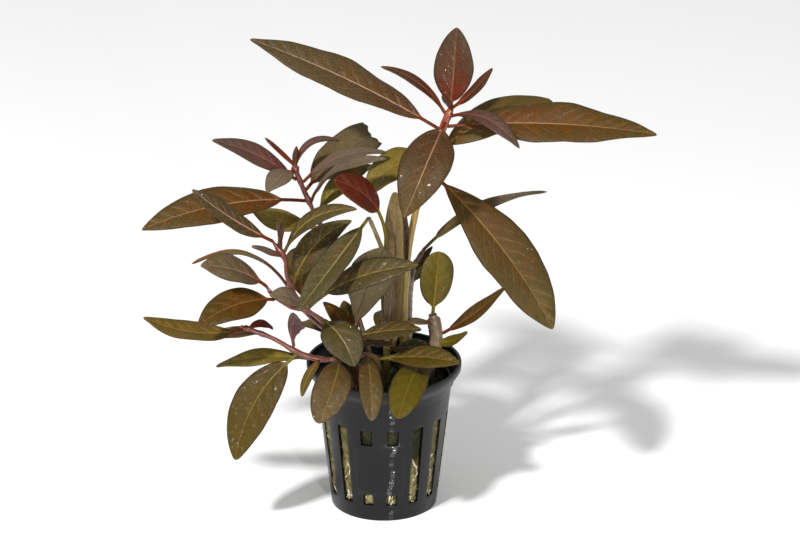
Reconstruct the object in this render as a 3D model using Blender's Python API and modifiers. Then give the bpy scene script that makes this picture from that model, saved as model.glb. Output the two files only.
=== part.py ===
"""A potted Ludwigia glandulosa: a branching water plant in a slotted nursery pot.

The pot holds a plug of rock wool. Nine stems are rooted in the plug, and the leaves stand on
the stems one by one, each on its own short stalk. Buds and the smallest leaves have grown as
one piece with their stem.

The origin is the middle of the pot's underside, on the surface that it stands on. +Z is up,
and the plant's front faces -Y. Sizes and places in the constants and tables are millimetres.
"""
from math import cos, log, pi, radians, sin
from typing import NamedTuple

import bmesh
import bpy
from mathutils import Vector

MM = 0.001
AIR = 0.3  # clearance between two solids that touch in the real plant
MERGE = 0.01  # points closer together than this are one point
UP = Vector((0, 0, 1))

# Pot
POT_HEIGHT = 53.0
BASE_RADIUS = 18.5
WALL_TOP_RADIUS = 23.7
COLLAR_FOOT = 46.0
COLLAR_RADIUS = 24.4
COLLAR_HEIGHT = 1.0
RIM_RADIUS = 27.0
RIM_HEIGHT = 2.0
WALL = 1.0
FLOOR = 1.2
POT_SIDES = 45

# Slots in the pot's wall, all alike but for the two front ones
SLOT_COUNT = 15
SLOT_FIRST = 8.0  # degrees from the front towards +X
SLOT_FOOT = 6.0
SLOT_TOP = 36.0
SLOT_WIDTH_FOOT = 3.6
SLOT_WIDTH_TOP = 4.3
SLOT_REACH = 6.0  # depth of the block that cuts a slot, half of it inside the wall's face

# Blank panel that bridges the two front slots
BRIDGED_SLOTS = (0, SLOT_COUNT - 1)
PANEL_FOOT = 10.6
PANEL_TOP = 30.0
PANEL_LEFT = -27.0
PANEL_RIGHT = 19.0
PANEL_RELIEF = 0.4
PANEL_SIDES = 6

# Drain holes in the pot's floor
DRAIN_COUNT = 6
DRAIN_RADIUS = 2.2
DRAIN_CIRCLE = 11.5
DRAIN_SIDES = 8

# Rock wool
WOOL_TOP = 44.5
WOOL_SIDES = 30
WOOL_GAP = 0.4  # wider than AIR, because plug and pot have flat sides that don't match
SOCKET_DEPTH = 4.0
SOCKET_GAP = 0.5
SOCKET_SIDES = 8

# Stems
ROOT = WOOL_TOP - SOCKET_DEPTH + AIR
UPRIGHT = WOOL_TOP + 3.0  # a stem rises straight from its root to this height
STEM_STEP = 7.0  # distance between the rings of a stem
STEM_SAMPLES = 200

# Leaves
LEAF_THICKNESS = 0.5
STALK_WIDTH = 1.3
TIP_WIDTH = 0.5
LEAF_ROW = 8.0  # longest stretch of blade between two rows of points
FEWEST_ROWS = 5
TIP_CROWDING = 1.4  # over 1 sets the rows of points closer together near the tip

COLORS = {
    "plastic": (0.028, 0.029, 0.035),
    "wool": (0.17, 0.15, 0.055),
    "yellow": (0.42, 0.30, 0.06),
    "red": (0.30, 0.035, 0.025),
    "pink": (0.36, 0.17, 0.12),
    "maroon": (0.11, 0.035, 0.03),
    "purple": (0.12, 0.045, 0.055),
    "copper": (0.19, 0.075, 0.025),
    "bronze": (0.13, 0.075, 0.018),
    "golden": (0.17, 0.12, 0.02),
    "olive": (0.09, 0.08, 0.018),
    "dark": (0.05, 0.042, 0.014),
    "moss": (0.14, 0.14, 0.02),
    "grey": (0.14, 0.13, 0.075),
    "tan": (0.24, 0.17, 0.07),
}
ROUGHNESS = {"plastic": 0.25, "wool": 0.95}
LEAF_ROUGHNESS = 0.5  # of leaves and stems


class Stem(NamedTuple):
    """A shoot: where it is rooted, its radii, and the route of its axis to its growing tip."""

    name: str
    root: tuple
    foot: float  # radius at the root
    top: float  # radius at the growing tip
    color: str
    route: tuple


class Leaf(NamedTuple):
    """One leaf. It runs from its stem to its tip, and is bowed and turned on the way."""

    name: str
    stem: str
    at: float  # where it stands on the stem, as a share of the stem's length
    tip: tuple
    width: float
    arch: float = 0.0  # how far its middle is lifted off the straight line
    roll: float = 0.0  # degrees that it is turned about its own length
    color: str = "olive"
    sway: float = 0.0  # how far its middle is pushed sideways
    twist: float = 0.0  # degrees that it turns further on the way to its tip
    fold: float = 8.0  # degrees that each half of its blade is raised from flat
    stalk: float = 0.1  # share of its length that is bare stalk
    widest: float = 0.46  # where the blade is widest, as a share of the blade
    full: float = 0.8  # under 1 makes the outline fuller, and its tip rounder, than a sine wave
    kept: float = 1.0  # share of the blade's length that a cut across it has left


STEMS = (
    Stem("main_stem", (7, 9), 1.5, 1.0, "yellow",
         ((7, 9, 72), (9, 8, 95), (14, 8, 118), (20, 8, 136), (23, 8, 144))),
    Stem("upper_left_stem", (-4, 8), 1.0, 0.65, "red",
         ((-8, 10, 62), (-16, 13, 85), (-25, 14, 105), (-30, 13, 118), (-31, 13, 122))),
    Stem("mid_left_stem", (-8, 1), 1.0, 0.65, "red",
         ((-15, -1, 60), (-27, -3, 73), (-33, -5, 86), (-34, -6, 94), (-38, -7, 101))),
    Stem("side_left_stem", (-10, -5), 0.95, 0.65, "red",
         ((-16, -9, 66), (-25, -13, 77), (-32, -15, 80), (-38, -16, 85), (-40, -16, 88))),
    Stem("trailing_stem", (-1, -4), 1.1, 0.7, "red",
         ((-3, -9, 58), (-9, -14, 61), (-20, -17, 61), (-29, -18, 64), (-38, -19, 70), (-49, -20, 75))),
    Stem("right_stem", (16, 6), 1.8, 2.3, "pink",
         ((18, 6, 56), (18, 6, 62), (17, 6, 68))),
    Stem("back_right_stem", (9, 15), 1.1, 0.8, "pink",
         ((9, 17, 65), (10, 17, 80), (14, 17, 88))),
    Stem("centre_stem", (1, 1), 1.1, 0.7, "yellow",
         ((1, 1, 68), (1, 0, 82), (0, 0, 93), (-5, 0, 107))),
    Stem("front_stem", (-9, -10), 1.1, 0.8, "pink",
         ((-10, -9, 57), (-11, -9, 67))),
)

LEAVES = (
    Leaf("crown_leaf", "main_stem", 1.00, (25, 12, 172), 14, 0, 14, "maroon", stalk=0.04, full=0.72),
    Leaf("crown_left_leaf", "main_stem", 0.98, (-1, 6, 160), 5, 3, -28, "maroon"),
    Leaf("crown_right_leaf", "main_stem", 1.00, (37, 2, 161), 5.5, -1, 44, "maroon"),
    Leaf("crown_purple_leaf", "main_stem", 0.98, (46, -14, 138), 7, 5, 16, "purple"),
    Leaf("long_left_leaf", "main_stem", 0.92, (-46, 25, 163), 17, 2, -20, "bronze"),
    Leaf("long_right_leaf", "main_stem", 0.94, (93, -4, 139), 17.5, 2.5, 28, "copper"),
    Leaf("cut_right_leaf", "main_stem", 0.84, (72, 24, 141), 18, 5, 24, "olive", kept=0.74),
    Leaf("front_leaf", "main_stem", 0.95, (7, -20, 115), 18, 6, -12, "copper", sway=3),
    Leaf("drooping_leaf", "main_stem", 0.77, (58, -18, 73), 21, 4, 26, "bronze", widest=0.55, full=0.75),
    Leaf("inner_left_leaf", "main_stem", 0.82, (-7, 11, 111), 16, 3, -30, "moss"),
    Leaf("main_back_leaf", "main_stem", 0.74, (2, 44, 103), 14, 4, 0, "olive"),
    Leaf("main_low_back_leaf", "main_stem", 0.36, (-7, 40, 66), 11, 3, 0, "moss"),

    Leaf("upper_purple_leaf", "upper_left_stem", 0.93, (-59, 9, 132), 9, 2, -32, "purple"),
    Leaf("upper_silver_leaf", "upper_left_stem", 0.97, (-40, -2, 117), 8.5, 2, -10, "grey"),
    Leaf("upper_long_leaf", "upper_left_stem", 0.83, (-83, -4, 104), 15.5, 4, -30, "copper", stalk=0.15),
    Leaf("upper_arched_leaf", "upper_left_stem", 0.91, (1, 10, 127), 8, 4, 14, "grey"),
    Leaf("upper_under_leaf", "upper_left_stem", 0.82, (1, -6, 131), 8, 5, 22, "purple", sway=-3),
    Leaf("upper_green_leaf", "upper_left_stem", 0.76, (-4, 26, 116), 10, 3, 10, "moss"),
    Leaf("upper_cut_leaf", "upper_left_stem", 0.87, (3, 40, 129), 16, 2, 18, "grey", kept=0.75),
    Leaf("upper_yellow_leaf", "upper_left_stem", 0.70, (-47, 22, 102), 10, -2, -20, "moss"),
    Leaf("upper_back_leaf", "upper_left_stem", 0.52, (-20, 42, 69), 14, 4, 0, "olive"),

    Leaf("mid_olive_leaf", "mid_left_stem", 1.00, (-65, -14, 123), 9, -1, -38, "bronze"),
    Leaf("mid_arched_leaf", "mid_left_stem", 0.92, (-9, -12, 115), 8, 5, 32, "dark"),
    Leaf("mid_dark_leaf", "mid_left_stem", 0.73, (-11, 2, 105), 11, 4, 40, "dark", widest=0.38),
    Leaf("mid_thin_leaf", "mid_left_stem", 0.73, (-66, -8, 93), 5, 8, 2, "moss", stalk=0.25),
    Leaf("centre_dark_leaf", "mid_left_stem", 0.57, (12, -16, 96), 12, 4.5, 40, "dark",
         sway=-3, stalk=0.25),
    Leaf("mid_back_leaf", "mid_left_stem", 0.60, (-30, 28, 84), 12, 4, 0, "olive"),
    Leaf("mid_low_back_leaf", "mid_left_stem", 0.33, (-31, 15, 60), 10, 3, 0, "olive"),

    Leaf("side_veined_leaf", "side_left_stem", 1.00, (-62, -26, 100), 12, 2, -36, "olive"),
    Leaf("side_bronze_leaf", "side_left_stem", 0.92, (-63, -34, 81), 13, 3, -34, "copper"),
    Leaf("side_pale_leaf", "side_left_stem", 0.60, (-10, -27, 63), 14, 3, 18, "grey", full=0.65),

    Leaf("trailing_tip_leaf", "trailing_stem", 0.98, (-82, -24, 80), 11, -3, -18, "olive"),
    Leaf("trailing_curled_leaf", "trailing_stem", 0.72, (-27, -24, 76), 8, 5, -86, "purple"),
    Leaf("trailing_thin_leaf", "trailing_stem", 0.63, (-58, -14, 57), 8, 2, -20, "moss"),
    Leaf("hanging_leaf", "trailing_stem", 0.69, (-51, -30, 29), 15, 5, -40, "golden", full=0.65),
    Leaf("rim_left_leaf", "trailing_stem", 0.48, (-22, -41, 48), 13, 5, -12, "tan",
         sway=2.5, widest=0.55, full=0.55),
    Leaf("rim_front_leaf", "trailing_stem", 0.34, (-4, -41, 49), 9, 5, -18, "tan", widest=0.55, full=0.55),
    Leaf("rim_right_leaf", "trailing_stem", 0.25, (26, -22, 62), 10, 1.5, 30, "golden", widest=0.55),

    Leaf("centre_large_leaf", "centre_stem", 1.00, (-29, -28, 84), 11.5, 0, -18, "grey", fold=18),
    Leaf("centre_red_leaf", "centre_stem", 0.80, (-17, -8, 124), 12, 6, -54, "copper", stalk=0.42, full=0.6),
    Leaf("centre_back_leaf", "centre_stem", 0.13, (3, 38, 56), 12, 6, 0, "olive", stalk=0.25),
    Leaf("centre_pale_leaf", "centre_stem", 0.24, (17, -8, 61), 9, 1, 14, "grey"),
    Leaf("centre_upright_leaf", "centre_stem", 0.20, (4, 6, 114), 10, -1, -5, "tan", stalk=0.03, full=0.45),

    Leaf("front_brown_leaf", "front_stem", 0.96, (13, -14, 71), 11, 1, 14, "olive"),
    Leaf("front_tan_leaf", "front_stem", 1.00, (-0.5, -5.5, 98), 16.5, 0, -95, "tan",
         stalk=0.12, widest=0.62, full=0.65),

    Leaf("right_green_leaf", "right_stem", 1.00, (19, 8, 91), 13, 0, 60, "moss",
         stalk=0.03, widest=0.55, full=0.5),
    Leaf("right_long_leaf", "right_stem", 0.74, (42, 2, 80), 6.5, -1, 34, "bronze"),
    Leaf("rim_yellow_leaf", "right_stem", 0.38, (5, -37, 48), 12.5, 5.5, -8, "moss", widest=0.65, full=0.5),
    Leaf("back_long_leaf", "back_right_stem", 1.00, (57, 26, 106), 7, 5, 8, "grey", widest=0.33),
)

SMALL_LEAVES = (
    Leaf("crown_bud", "main_stem", 1.00, (20, 0, 152), 3, 0, 0),
    Leaf("main_strip", "main_stem", 0.39, (7, 4, 110), 5, 0, -50),
    Leaf("upper_curl", "upper_left_stem", 0.98, (-15, 16, 129), 4.5, 5, 14),
    Leaf("upper_bud_left", "upper_left_stem", 0.99, (-41, 14, 131), 2.5, 0, -20),
    Leaf("upper_bud_right", "upper_left_stem", 0.98, (-30, 11, 129), 2.5, 0, 0),
    Leaf("mid_bud_up", "mid_left_stem", 0.93, (-36, -8, 109), 3.5, 0, -40),
    Leaf("mid_bud_right", "mid_left_stem", 0.95, (-34, -11, 108), 2.5, 0, 30),
    Leaf("mid_bud_grey", "mid_left_stem", 0.90, (-45, -16, 103), 4, 0, -30),
    Leaf("side_grey", "side_left_stem", 0.72, (-39, -19, 86), 8, 2, -34),
    Leaf("trailing_tan", "trailing_stem", 0.89, (-62, -16, 69), 7, 1, -14),
    Leaf("trailing_bud", "trailing_stem", 0.96, (-38, -16, 72), 4, 2, 20),
    Leaf("trailing_small", "trailing_stem", 0.57, (-28, -30, 53), 6, 2, 22),
    Leaf("front_dark", "front_stem", 0.85, (4, -10, 63), 6, 1, 2),
    Leaf("front_up", "front_stem", 0.80, (-21, -4, 77), 8, 2, -16),
    Leaf("centre_strip", "centre_stem", 0.34, (3, -2, 86), 4.5, 0, 0),
    Leaf("front_back", "front_stem", 0.90, (-14, 4, 74), 7, 2, 0),
    Leaf("right_short", "right_stem", 0.62, (29, -2, 65), 5, -1.5, 40),
    Leaf("right_small", "right_stem", 0.85, (7, -4, 69), 4, 1, -20),
    Leaf("back_low", "back_right_stem", 0.70, (20, 42, 74), 8, 2, 0),
    Leaf("back_bud", "back_right_stem", 0.80, (17, 22, 87), 3.5, 0, 10),
)


def color_of(name):
    """A plain material in one of this plant's colours."""
    material = bpy.data.materials.get(name) or bpy.data.materials.new(name)
    material.use_nodes = True
    shader = material.node_tree.nodes["Principled BSDF"]
    shader.inputs["Base Color"].default_value = (*COLORS[name], 1.0)
    shader.inputs["Roughness"].default_value = ROUGHNESS.get(name, LEAF_ROUGHNESS)
    shader.inputs["Metallic"].default_value = 0.0
    return material


def add_object(name, mesh, color, collection):
    """Put a mesh in the scene as an object of one colour."""
    made = bpy.data.objects.new(name, mesh)
    collection.objects.link(made)
    mesh.materials.clear()
    mesh.materials.append(color_of(color))
    return made


def hide_tool(made):
    """Show a cutter or a shape that is joined to another as a wire only."""
    made.hide_render = True
    made.display_type = "WIRE"


def combine(target, tool, operation):
    """Cut a tool's shape from a target, or join it on."""
    step = target.modifiers.new(tool.name, "BOOLEAN")
    step.operation = operation
    step.object = tool
    step.solver = "EXACT"


def wall_radius(z):
    """The outer radius of the pot's tapered wall at a height."""
    return BASE_RADIUS + (WALL_TOP_RADIUS - BASE_RADIUS) * z / COLLAR_FOOT


def turned(name, outline, color, collection, sides, sweep=360.0):
    """Turn an outline of (radius, height) points about the Z axis."""
    mesh = bpy.data.meshes.new(name)
    points = [(r * MM, 0, z * MM) for r, z in outline]
    mesh.from_pydata(points, [(i, i + 1) for i in range(len(points) - 1)], [])
    made = add_object(name, mesh, color, collection)
    screw = made.modifiers.new("turn", "SCREW")
    screw.angle = radians(sweep)
    screw.steps = sides
    screw.render_steps = sides
    screw.use_merge_vertices = True
    screw.merge_threshold = MERGE * MM
    return made


def slot_cutter(number, foot, top):
    """A tapered block that cuts one slot through the wall, from one height to another."""
    block = bmesh.new()
    bmesh.ops.create_cube(block, size=1.0)
    angle = radians(SLOT_FIRST + number * 360 / SLOT_COUNT)
    outward = Vector((sin(angle), -cos(angle), 0))
    across = Vector((cos(angle), sin(angle), 0))
    for corner in block.verts:
        z = foot if corner.co.z < 0 else top
        share = (z - SLOT_FOOT) / (SLOT_TOP - SLOT_FOOT)
        width = SLOT_WIDTH_FOOT + (SLOT_WIDTH_TOP - SLOT_WIDTH_FOOT) * share
        radius = wall_radius(z) + SLOT_REACH * corner.co.x
        corner.co = (outward * radius + across * width * corner.co.y + UP * z) * MM
    return block


def joined(name, pieces, color, collection):
    """Put several closed shapes that don't touch into one object."""
    mesh = bpy.data.meshes.new(name)
    whole = bmesh.new()
    for piece in pieces:
        piece.to_mesh(mesh)
        whole.from_mesh(mesh)
        piece.free()
    bmesh.ops.recalc_face_normals(whole, faces=whole.faces)
    whole.to_mesh(mesh)
    whole.free()
    return add_object(name, mesh, color, collection)


def post(middle, height, radius, sides):
    """An upright cylinder around a point, for a hole."""
    shape = bmesh.new()
    bmesh.ops.create_cone(shape, cap_ends=True, segments=sides, radius1=radius * MM,
                          radius2=radius * MM, depth=height * MM)
    bmesh.ops.translate(shape, verts=shape.verts, vec=Vector(middle) * MM)
    return shape


def build_pot(parts, tools):
    """The slotted pot, from its rim down its outside to its floor."""
    inner_top = WALL_TOP_RADIUS - WALL
    pot = turned("pot", (
        (0, FLOOR),
        (wall_radius(FLOOR) - WALL, FLOOR),
        (inner_top, COLLAR_FOOT),
        (RIM_RADIUS - WALL, POT_HEIGHT - RIM_HEIGHT),
        (RIM_RADIUS - WALL, POT_HEIGHT),
        (RIM_RADIUS, POT_HEIGHT),
        (RIM_RADIUS, POT_HEIGHT - RIM_HEIGHT),
        (COLLAR_RADIUS, COLLAR_FOOT + COLLAR_HEIGHT),
        (COLLAR_RADIUS, COLLAR_FOOT),
        (WALL_TOP_RADIUS, COLLAR_FOOT),
        (BASE_RADIUS, 0),
        (0, 0),
    ), "plastic", parts, POT_SIDES)

    panel = turned("panel", (
        (wall_radius(PANEL_TOP), PANEL_TOP),
        (wall_radius(PANEL_FOOT), PANEL_FOOT),
    ), "plastic", tools, PANEL_SIDES, PANEL_RIGHT - PANEL_LEFT)
    panel.rotation_euler.z = radians(PANEL_LEFT - 90)
    thicken = panel.modifiers.new("thickness", "SOLIDIFY")
    thicken.thickness = 2 * PANEL_RELIEF * MM
    thicken.offset = 0
    hide_tool(panel)

    blocks = []
    for number in range(SLOT_COUNT):
        if number in BRIDGED_SLOTS:
            blocks.append(slot_cutter(number, SLOT_FOOT, PANEL_FOOT))
            blocks.append(slot_cutter(number, PANEL_TOP, SLOT_TOP))
        else:
            blocks.append(slot_cutter(number, SLOT_FOOT, SLOT_TOP))
    slots = joined("slots", blocks, "plastic", tools)
    hide_tool(slots)

    posts = []
    for number in range(DRAIN_COUNT):
        angle = 2 * pi * number / DRAIN_COUNT
        middle = (DRAIN_CIRCLE * cos(angle), DRAIN_CIRCLE * sin(angle), FLOOR / 2)
        posts.append(post(middle, 2 * FLOOR, DRAIN_RADIUS, DRAIN_SIDES))
    drains = joined("drains", posts, "plastic", tools)
    hide_tool(drains)

    combine(pot, panel, "UNION")
    combine(pot, slots, "DIFFERENCE")
    combine(pot, drains, "DIFFERENCE")


def build_wool(parts, tools):
    """The plug of rock wool, with a socket for each root."""
    foot = FLOOR + AIR
    inset = WALL + WOOL_GAP
    bpy.ops.mesh.primitive_cone_add(
        vertices=WOOL_SIDES,
        radius1=(wall_radius(foot) - inset) * MM,
        radius2=(wall_radius(WOOL_TOP) - inset) * MM,
        depth=(WOOL_TOP - foot) * MM,
        location=(0, 0, (WOOL_TOP + foot) / 2 * MM),
    )
    cone = bpy.context.object
    cone.name = "rock_wool"
    cone.data.materials.append(color_of("wool"))
    for home in list(cone.users_collection):
        home.objects.unlink(cone)
    parts.objects.link(cone)

    posts = []
    for stem in STEMS:
        middle = (*stem.root, WOOL_TOP)
        posts.append(post(middle, 2 * SOCKET_DEPTH, stem.foot + SOCKET_GAP, SOCKET_SIDES))
    sockets = joined("sockets", posts, "wool", tools)
    hide_tool(sockets)
    combine(cone, sockets, "DIFFERENCE")


def smooth_route(stem):
    """A fine line of evenly spaced points on the smooth curve of a stem, and its length."""
    given = [Vector((*stem.root, ROOT)), Vector((*stem.root, UPRIGHT))]
    given += [Vector(p) for p in stem.route]
    given = [2 * given[0] - given[1], *given, 2 * given[-1] - given[-2]]
    spans = len(given) - 3
    rough = []
    for i in range(STEM_SAMPLES + 1):
        span = min(int(i * spans / STEM_SAMPLES), spans - 1)
        t = i * spans / STEM_SAMPLES - span
        a, b, c, d = given[span:span + 4]
        bend = (-a + c) * t + (2 * a - 5 * b + 4 * c - d) * t**2 + (3 * b - a - 3 * c + d) * t**3
        rough.append(b + bend / 2)
    reach = [0.0]
    for here, there in zip(rough, rough[1:]):
        reach.append(reach[-1] + (there - here).length)
    even = []
    step = 0
    for i in range(STEM_SAMPLES + 1):
        goal = reach[-1] * i / STEM_SAMPLES
        while step < STEM_SAMPLES - 1 and reach[step + 1] < goal:
            step += 1
        share = (goal - reach[step]) / (reach[step + 1] - reach[step])
        even.append(rough[step].lerp(rough[step + 1], share))
    return even, reach[-1]


def stem_radius(stem, share):
    """A stem's radius at a share of its length."""
    return stem.foot + (stem.top - stem.foot) * share


def build_stem(stem, collection):
    """A tapered tube along the stem's route."""
    line, length = smooth_route(stem)
    rings = max(3, round(length / STEM_STEP))
    curve = bpy.data.curves.new(stem.name, "CURVE")
    curve.dimensions = "3D"
    curve.bevel_depth = stem.foot * MM
    curve.bevel_resolution = 2
    curve.use_fill_caps = True
    spline = curve.splines.new("POLY")
    spline.points.add(rings)
    for i, point in enumerate(spline.points):
        share = i / rings
        point.co = (*(line[round(share * STEM_SAMPLES)] * MM), 1)
        point.radius = stem_radius(stem, share) / stem.foot
    tube = bpy.data.objects.new(stem.name, curve)
    collection.objects.link(tube)
    bpy.context.view_layer.update()
    mesh = bpy.data.meshes.new_from_object(tube.evaluated_get(bpy.context.evaluated_depsgraph_get()))
    bpy.data.objects.remove(tube)
    bpy.data.curves.remove(curve)
    weld = bmesh.new()
    weld.from_mesh(mesh)
    bmesh.ops.remove_doubles(weld, verts=weld.verts, dist=MERGE * MM)
    weld.to_mesh(mesh)
    weld.free()
    return add_object(stem.name, mesh, stem.color, collection)


def side_and_lift(reach):
    """The directions across a leaf that lies level, and up from it."""
    side = UP.cross(reach).normalized()
    return side, reach.cross(side).normalized()


def leaf_foot(leaf, stem, rooted):
    """Where a leaf begins: at its stem's skin, or inside the stem where it is one with it."""
    line, _ = smooth_route(stem)
    place = round(leaf.at * STEM_SAMPLES)
    axis = line[place]
    if rooted:
        return axis
    along = (line[min(place + 1, STEM_SAMPLES)] - line[max(place - 1, 0)]).normalized()
    reach = Vector(leaf.tip) - axis
    side, lift = side_and_lift(reach)
    heading = (reach + 4 * (side * leaf.sway + lift * leaf.arch)).normalized()
    out = heading - along * heading.dot(along)
    if leaf.at >= 1.0:
        out = heading
    return axis + out.normalized() * (stem_radius(stem, leaf.at) + LEAF_THICKNESS / 2 + AIR)


def blade_width(leaf, share):
    """A leaf's width at a share of its length: a bare stalk, then the blade's outline."""
    if share <= leaf.stalk:
        return STALK_WIDTH
    along = leaf.kept * (share - leaf.stalk) / (1 - leaf.stalk)
    swell = sin(pi * along ** (log(0.5) / log(leaf.widest))) ** leaf.full
    least = TIP_WIDTH if along > leaf.widest else STALK_WIDTH
    return least + (leaf.width - least) * swell


def build_leaf(leaf, stem, collection, rooted=False):
    """A leaf of even thickness on its bowed and turned middle line."""
    foot = leaf_foot(leaf, stem, rooted)
    reach = Vector(leaf.tip) - foot
    side, lift = side_and_lift(reach)
    length = reach.length * leaf.kept
    rows = max(FEWEST_ROWS, round(length / LEAF_ROW))

    sheet = bmesh.new()
    bmesh.ops.create_grid(sheet, x_segments=rows, y_segments=2, size=1.0)
    for point in sheet.verts:
        share = 1 - ((1 - point.co.x) / 2) ** TIP_CROWDING
        half = point.co.y
        bow = 4 * share * (1 - share)
        slope = 4 * (1 - 2 * share)
        middle = foot + reach * leaf.kept * share + (lift * leaf.arch + side * leaf.sway) * bow
        ahead = (reach * leaf.kept + lift * leaf.arch * slope).normalized()
        top = ahead.cross(side).normalized()
        turn = radians(leaf.roll + leaf.twist * share)
        across = side * cos(turn) + top * sin(turn)
        face = top * cos(turn) - side * sin(turn)
        half_width = blade_width(leaf, share) / 2
        point.co = middle + across * half * half_width * cos(radians(leaf.fold))
        point.co += face * abs(half) * half_width * sin(radians(leaf.fold))
        point.co *= MM
    mesh = bpy.data.meshes.new(leaf.name)
    sheet.to_mesh(mesh)
    sheet.free()
    made = add_object(leaf.name, mesh, leaf.color, collection)
    thicken = made.modifiers.new("thickness", "SOLIDIFY")
    thicken.thickness = LEAF_THICKNESS * MM
    thicken.offset = 0
    return made


def build_plant(parts, tools):
    """The stems with their small leaves grown on, and the separate leaves."""
    stems = {stem.name: stem for stem in STEMS}
    shoots = {}
    for stem in STEMS:
        shoots[stem.name] = build_stem(stem, parts)
    for leaf in SMALL_LEAVES:
        grown = build_leaf(leaf, stems[leaf.stem], tools, rooted=True)
        hide_tool(grown)
        combine(shoots[leaf.stem], grown, "UNION")
    for leaf in LEAVES:
        build_leaf(leaf, stems[leaf.stem], parts)


def new_collection(name):
    """A collection in the scene."""
    made = bpy.data.collections.new(name)
    bpy.context.scene.collection.children.link(made)
    return made


def main():
    for old in list(bpy.data.objects):
        bpy.data.objects.remove(old)
    parts = new_collection("potted_ludwigia")
    tools = new_collection("cutters_and_grown_on_leaves")
    build_pot(parts, tools)
    build_wool(parts, tools)
    build_plant(parts, tools)
    for made in parts.objects:
        made.data.shade_smooth()


main()
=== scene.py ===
"""A potted Ludwigia glandulosa, dressed for its photograph on the frame of its plain solids.

Every leaf, stem and bud is grown again from the same table that its solid comes from, with its
midrib, side veins, relief and stalk. The pot is drawn with finer slots and edges, and the rock
wool gets its fibres, moss and roots.

Sizes and places in the constants and tables are millimetres, and the meshes are in metres. The
origin is the middle of the pot's underside, +Z is up, and the plant's front faces -Y.
"""
from functools import partial
from math import atan2, cos, degrees, pi, radians, sin, sqrt
from typing import NamedTuple

import bmesh
import bpy
import numpy as np
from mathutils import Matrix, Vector, noise


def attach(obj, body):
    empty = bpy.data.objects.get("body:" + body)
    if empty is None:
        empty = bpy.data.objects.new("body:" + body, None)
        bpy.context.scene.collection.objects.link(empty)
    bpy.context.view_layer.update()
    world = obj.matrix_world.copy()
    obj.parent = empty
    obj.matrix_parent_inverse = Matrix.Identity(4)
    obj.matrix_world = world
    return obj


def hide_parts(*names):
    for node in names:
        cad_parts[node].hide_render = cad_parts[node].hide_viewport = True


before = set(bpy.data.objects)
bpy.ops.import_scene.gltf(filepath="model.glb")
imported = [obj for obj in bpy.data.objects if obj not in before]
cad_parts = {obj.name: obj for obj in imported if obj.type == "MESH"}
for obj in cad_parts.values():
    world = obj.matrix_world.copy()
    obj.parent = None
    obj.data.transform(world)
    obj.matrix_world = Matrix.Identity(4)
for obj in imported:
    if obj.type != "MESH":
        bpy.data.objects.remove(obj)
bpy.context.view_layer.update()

MM = 0.001
UP = np.array((0.0, 0.0, 1.0))

# Seeds of what is random. Leaves and stems count on from theirs
LEAF_SEED = 100
STEM_SEED = 200
ROOT_SEED = 300
FIBRE_SEED = 7
MOSS_SEED = 5

# Camera: it looks down on the plant from in front
VIEW_ELEVATION = 23.0  # degrees
VIEW_DISTANCE = 1500.0
VIEW_TARGET = (5.6, 0.0, 88.7)
VIEW_LENS = 195.4  # millimetres of focal length, on a sensor 36 mm wide
SENSOR_WIDTH = 36.0

# Pot
POT_HEIGHT = 53.0
BASE_RADIUS = 18.5
WALL_TOP_RADIUS = 23.7
COLLAR_FOOT = 46.0
COLLAR_RADIUS = 24.4
COLLAR_HEIGHT = 1.0
RIM_RADIUS = 27.0
RIM_HEIGHT = 2.0
WALL = 1.0
FLOOR = 1.2

# Slots in the pot's wall
SLOT_COUNT = 15
SLOT_FIRST = 8.0  # degrees from the front towards +X
SLOT_FOOT = 6.0
SLOT_TOP = 36.0
SLOT_SPAN = 10.8  # degrees that a slot is wide
SLOT_SOFT = 2.2  # degrees inside a slot over which the wool swells to its full
SLOT_COLUMNS = 8
BAR_COLUMNS = 8

# Blank panel that bridges the two front slots
BRIDGED_SLOTS = (0, SLOT_COUNT - 1)
PANEL_FOOT = 10.6
PANEL_TOP = 30.0
PANEL_LEFT = -27.0
PANEL_RIGHT = 19.0
PANEL_RELIEF = 0.2
PANEL_BEVEL = 0.35  # height that its sloping foot and top take up
PANEL_BEVEL_TURN = 0.9  # degrees that its sloping sides take up

# The pot's plastic, and the film of water down its front
PLASTIC_COLOR = "#040405"
PLASTIC_WORN = "#09090a"
RUN_PLACE = 2.8  # how far right of the middle the film runs
RUN_WIDTH = 1.5
RUN_WANDER = 3.5  # how far it wanders to either side

# Drain holes in the pot's floor
DRAIN_COUNT = 6
DRAIN_RADIUS = 2.2
DRAIN_CIRCLE = 11.5
DRAIN_SIDES = 32

# Rows of points that only keep the pot's faces small, and its rounded edges
WALL_ROWS = (1.5, 3.0, 4.5, 7.5, 9.0, 13, 16, 19, 22, 25, 28, 33, 38, 41, 43.5)
FLOOR_RINGS = (16.5, 14.5, DRAIN_CIRCLE, 8.5, 4.0)
EDGE_ROUND = 0.16

# Rock wool
WOOL_TOP = 44.5
WOOL_GAP = 0.4
WOOL_SIDES = 300
WOOL_ROUGHNESS = 0.35  # how far its surface is torn in and out
WOOL_COLORS = ("#443e24", "#746a42", "#968a5e", "#1c200e")  # dark, middle, pale, and green where stained and where shade is painted
STRAND_COLORS = ("#544c2c", "#746a42", "#968a62", "#222812")
WOOL_SWELL = 0.9  # how far it stands out into a slot
WORN_SLOT = 1  # its wool is washed out above a height, and painted shade darkens it there
WORN_HEIGHT = 22.0
ROOT_COUNT = 60
SHORT_ROOT = 7  # points along a root
LONG_ROOT = 18
ROOT_SIDES = 7
ROOT_STRAY = 5.2  # degrees that a root strays from the middle of its slot
ROOT_WAVE = 0.15
ROOT_TORN = 0.1
FIBRE_DENSITY = 1.0  # fibres on a square millimetre where the wool shows
FIBRE_LENGTH = 3.2
FIBRE_RADIUS = 0.07
FIBRE_BEND = 0.28  # how far its middle is drawn sideways, as a share of its length
MOSS_DENSITY = 1.6  # moss leaves on a square millimetre
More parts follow.
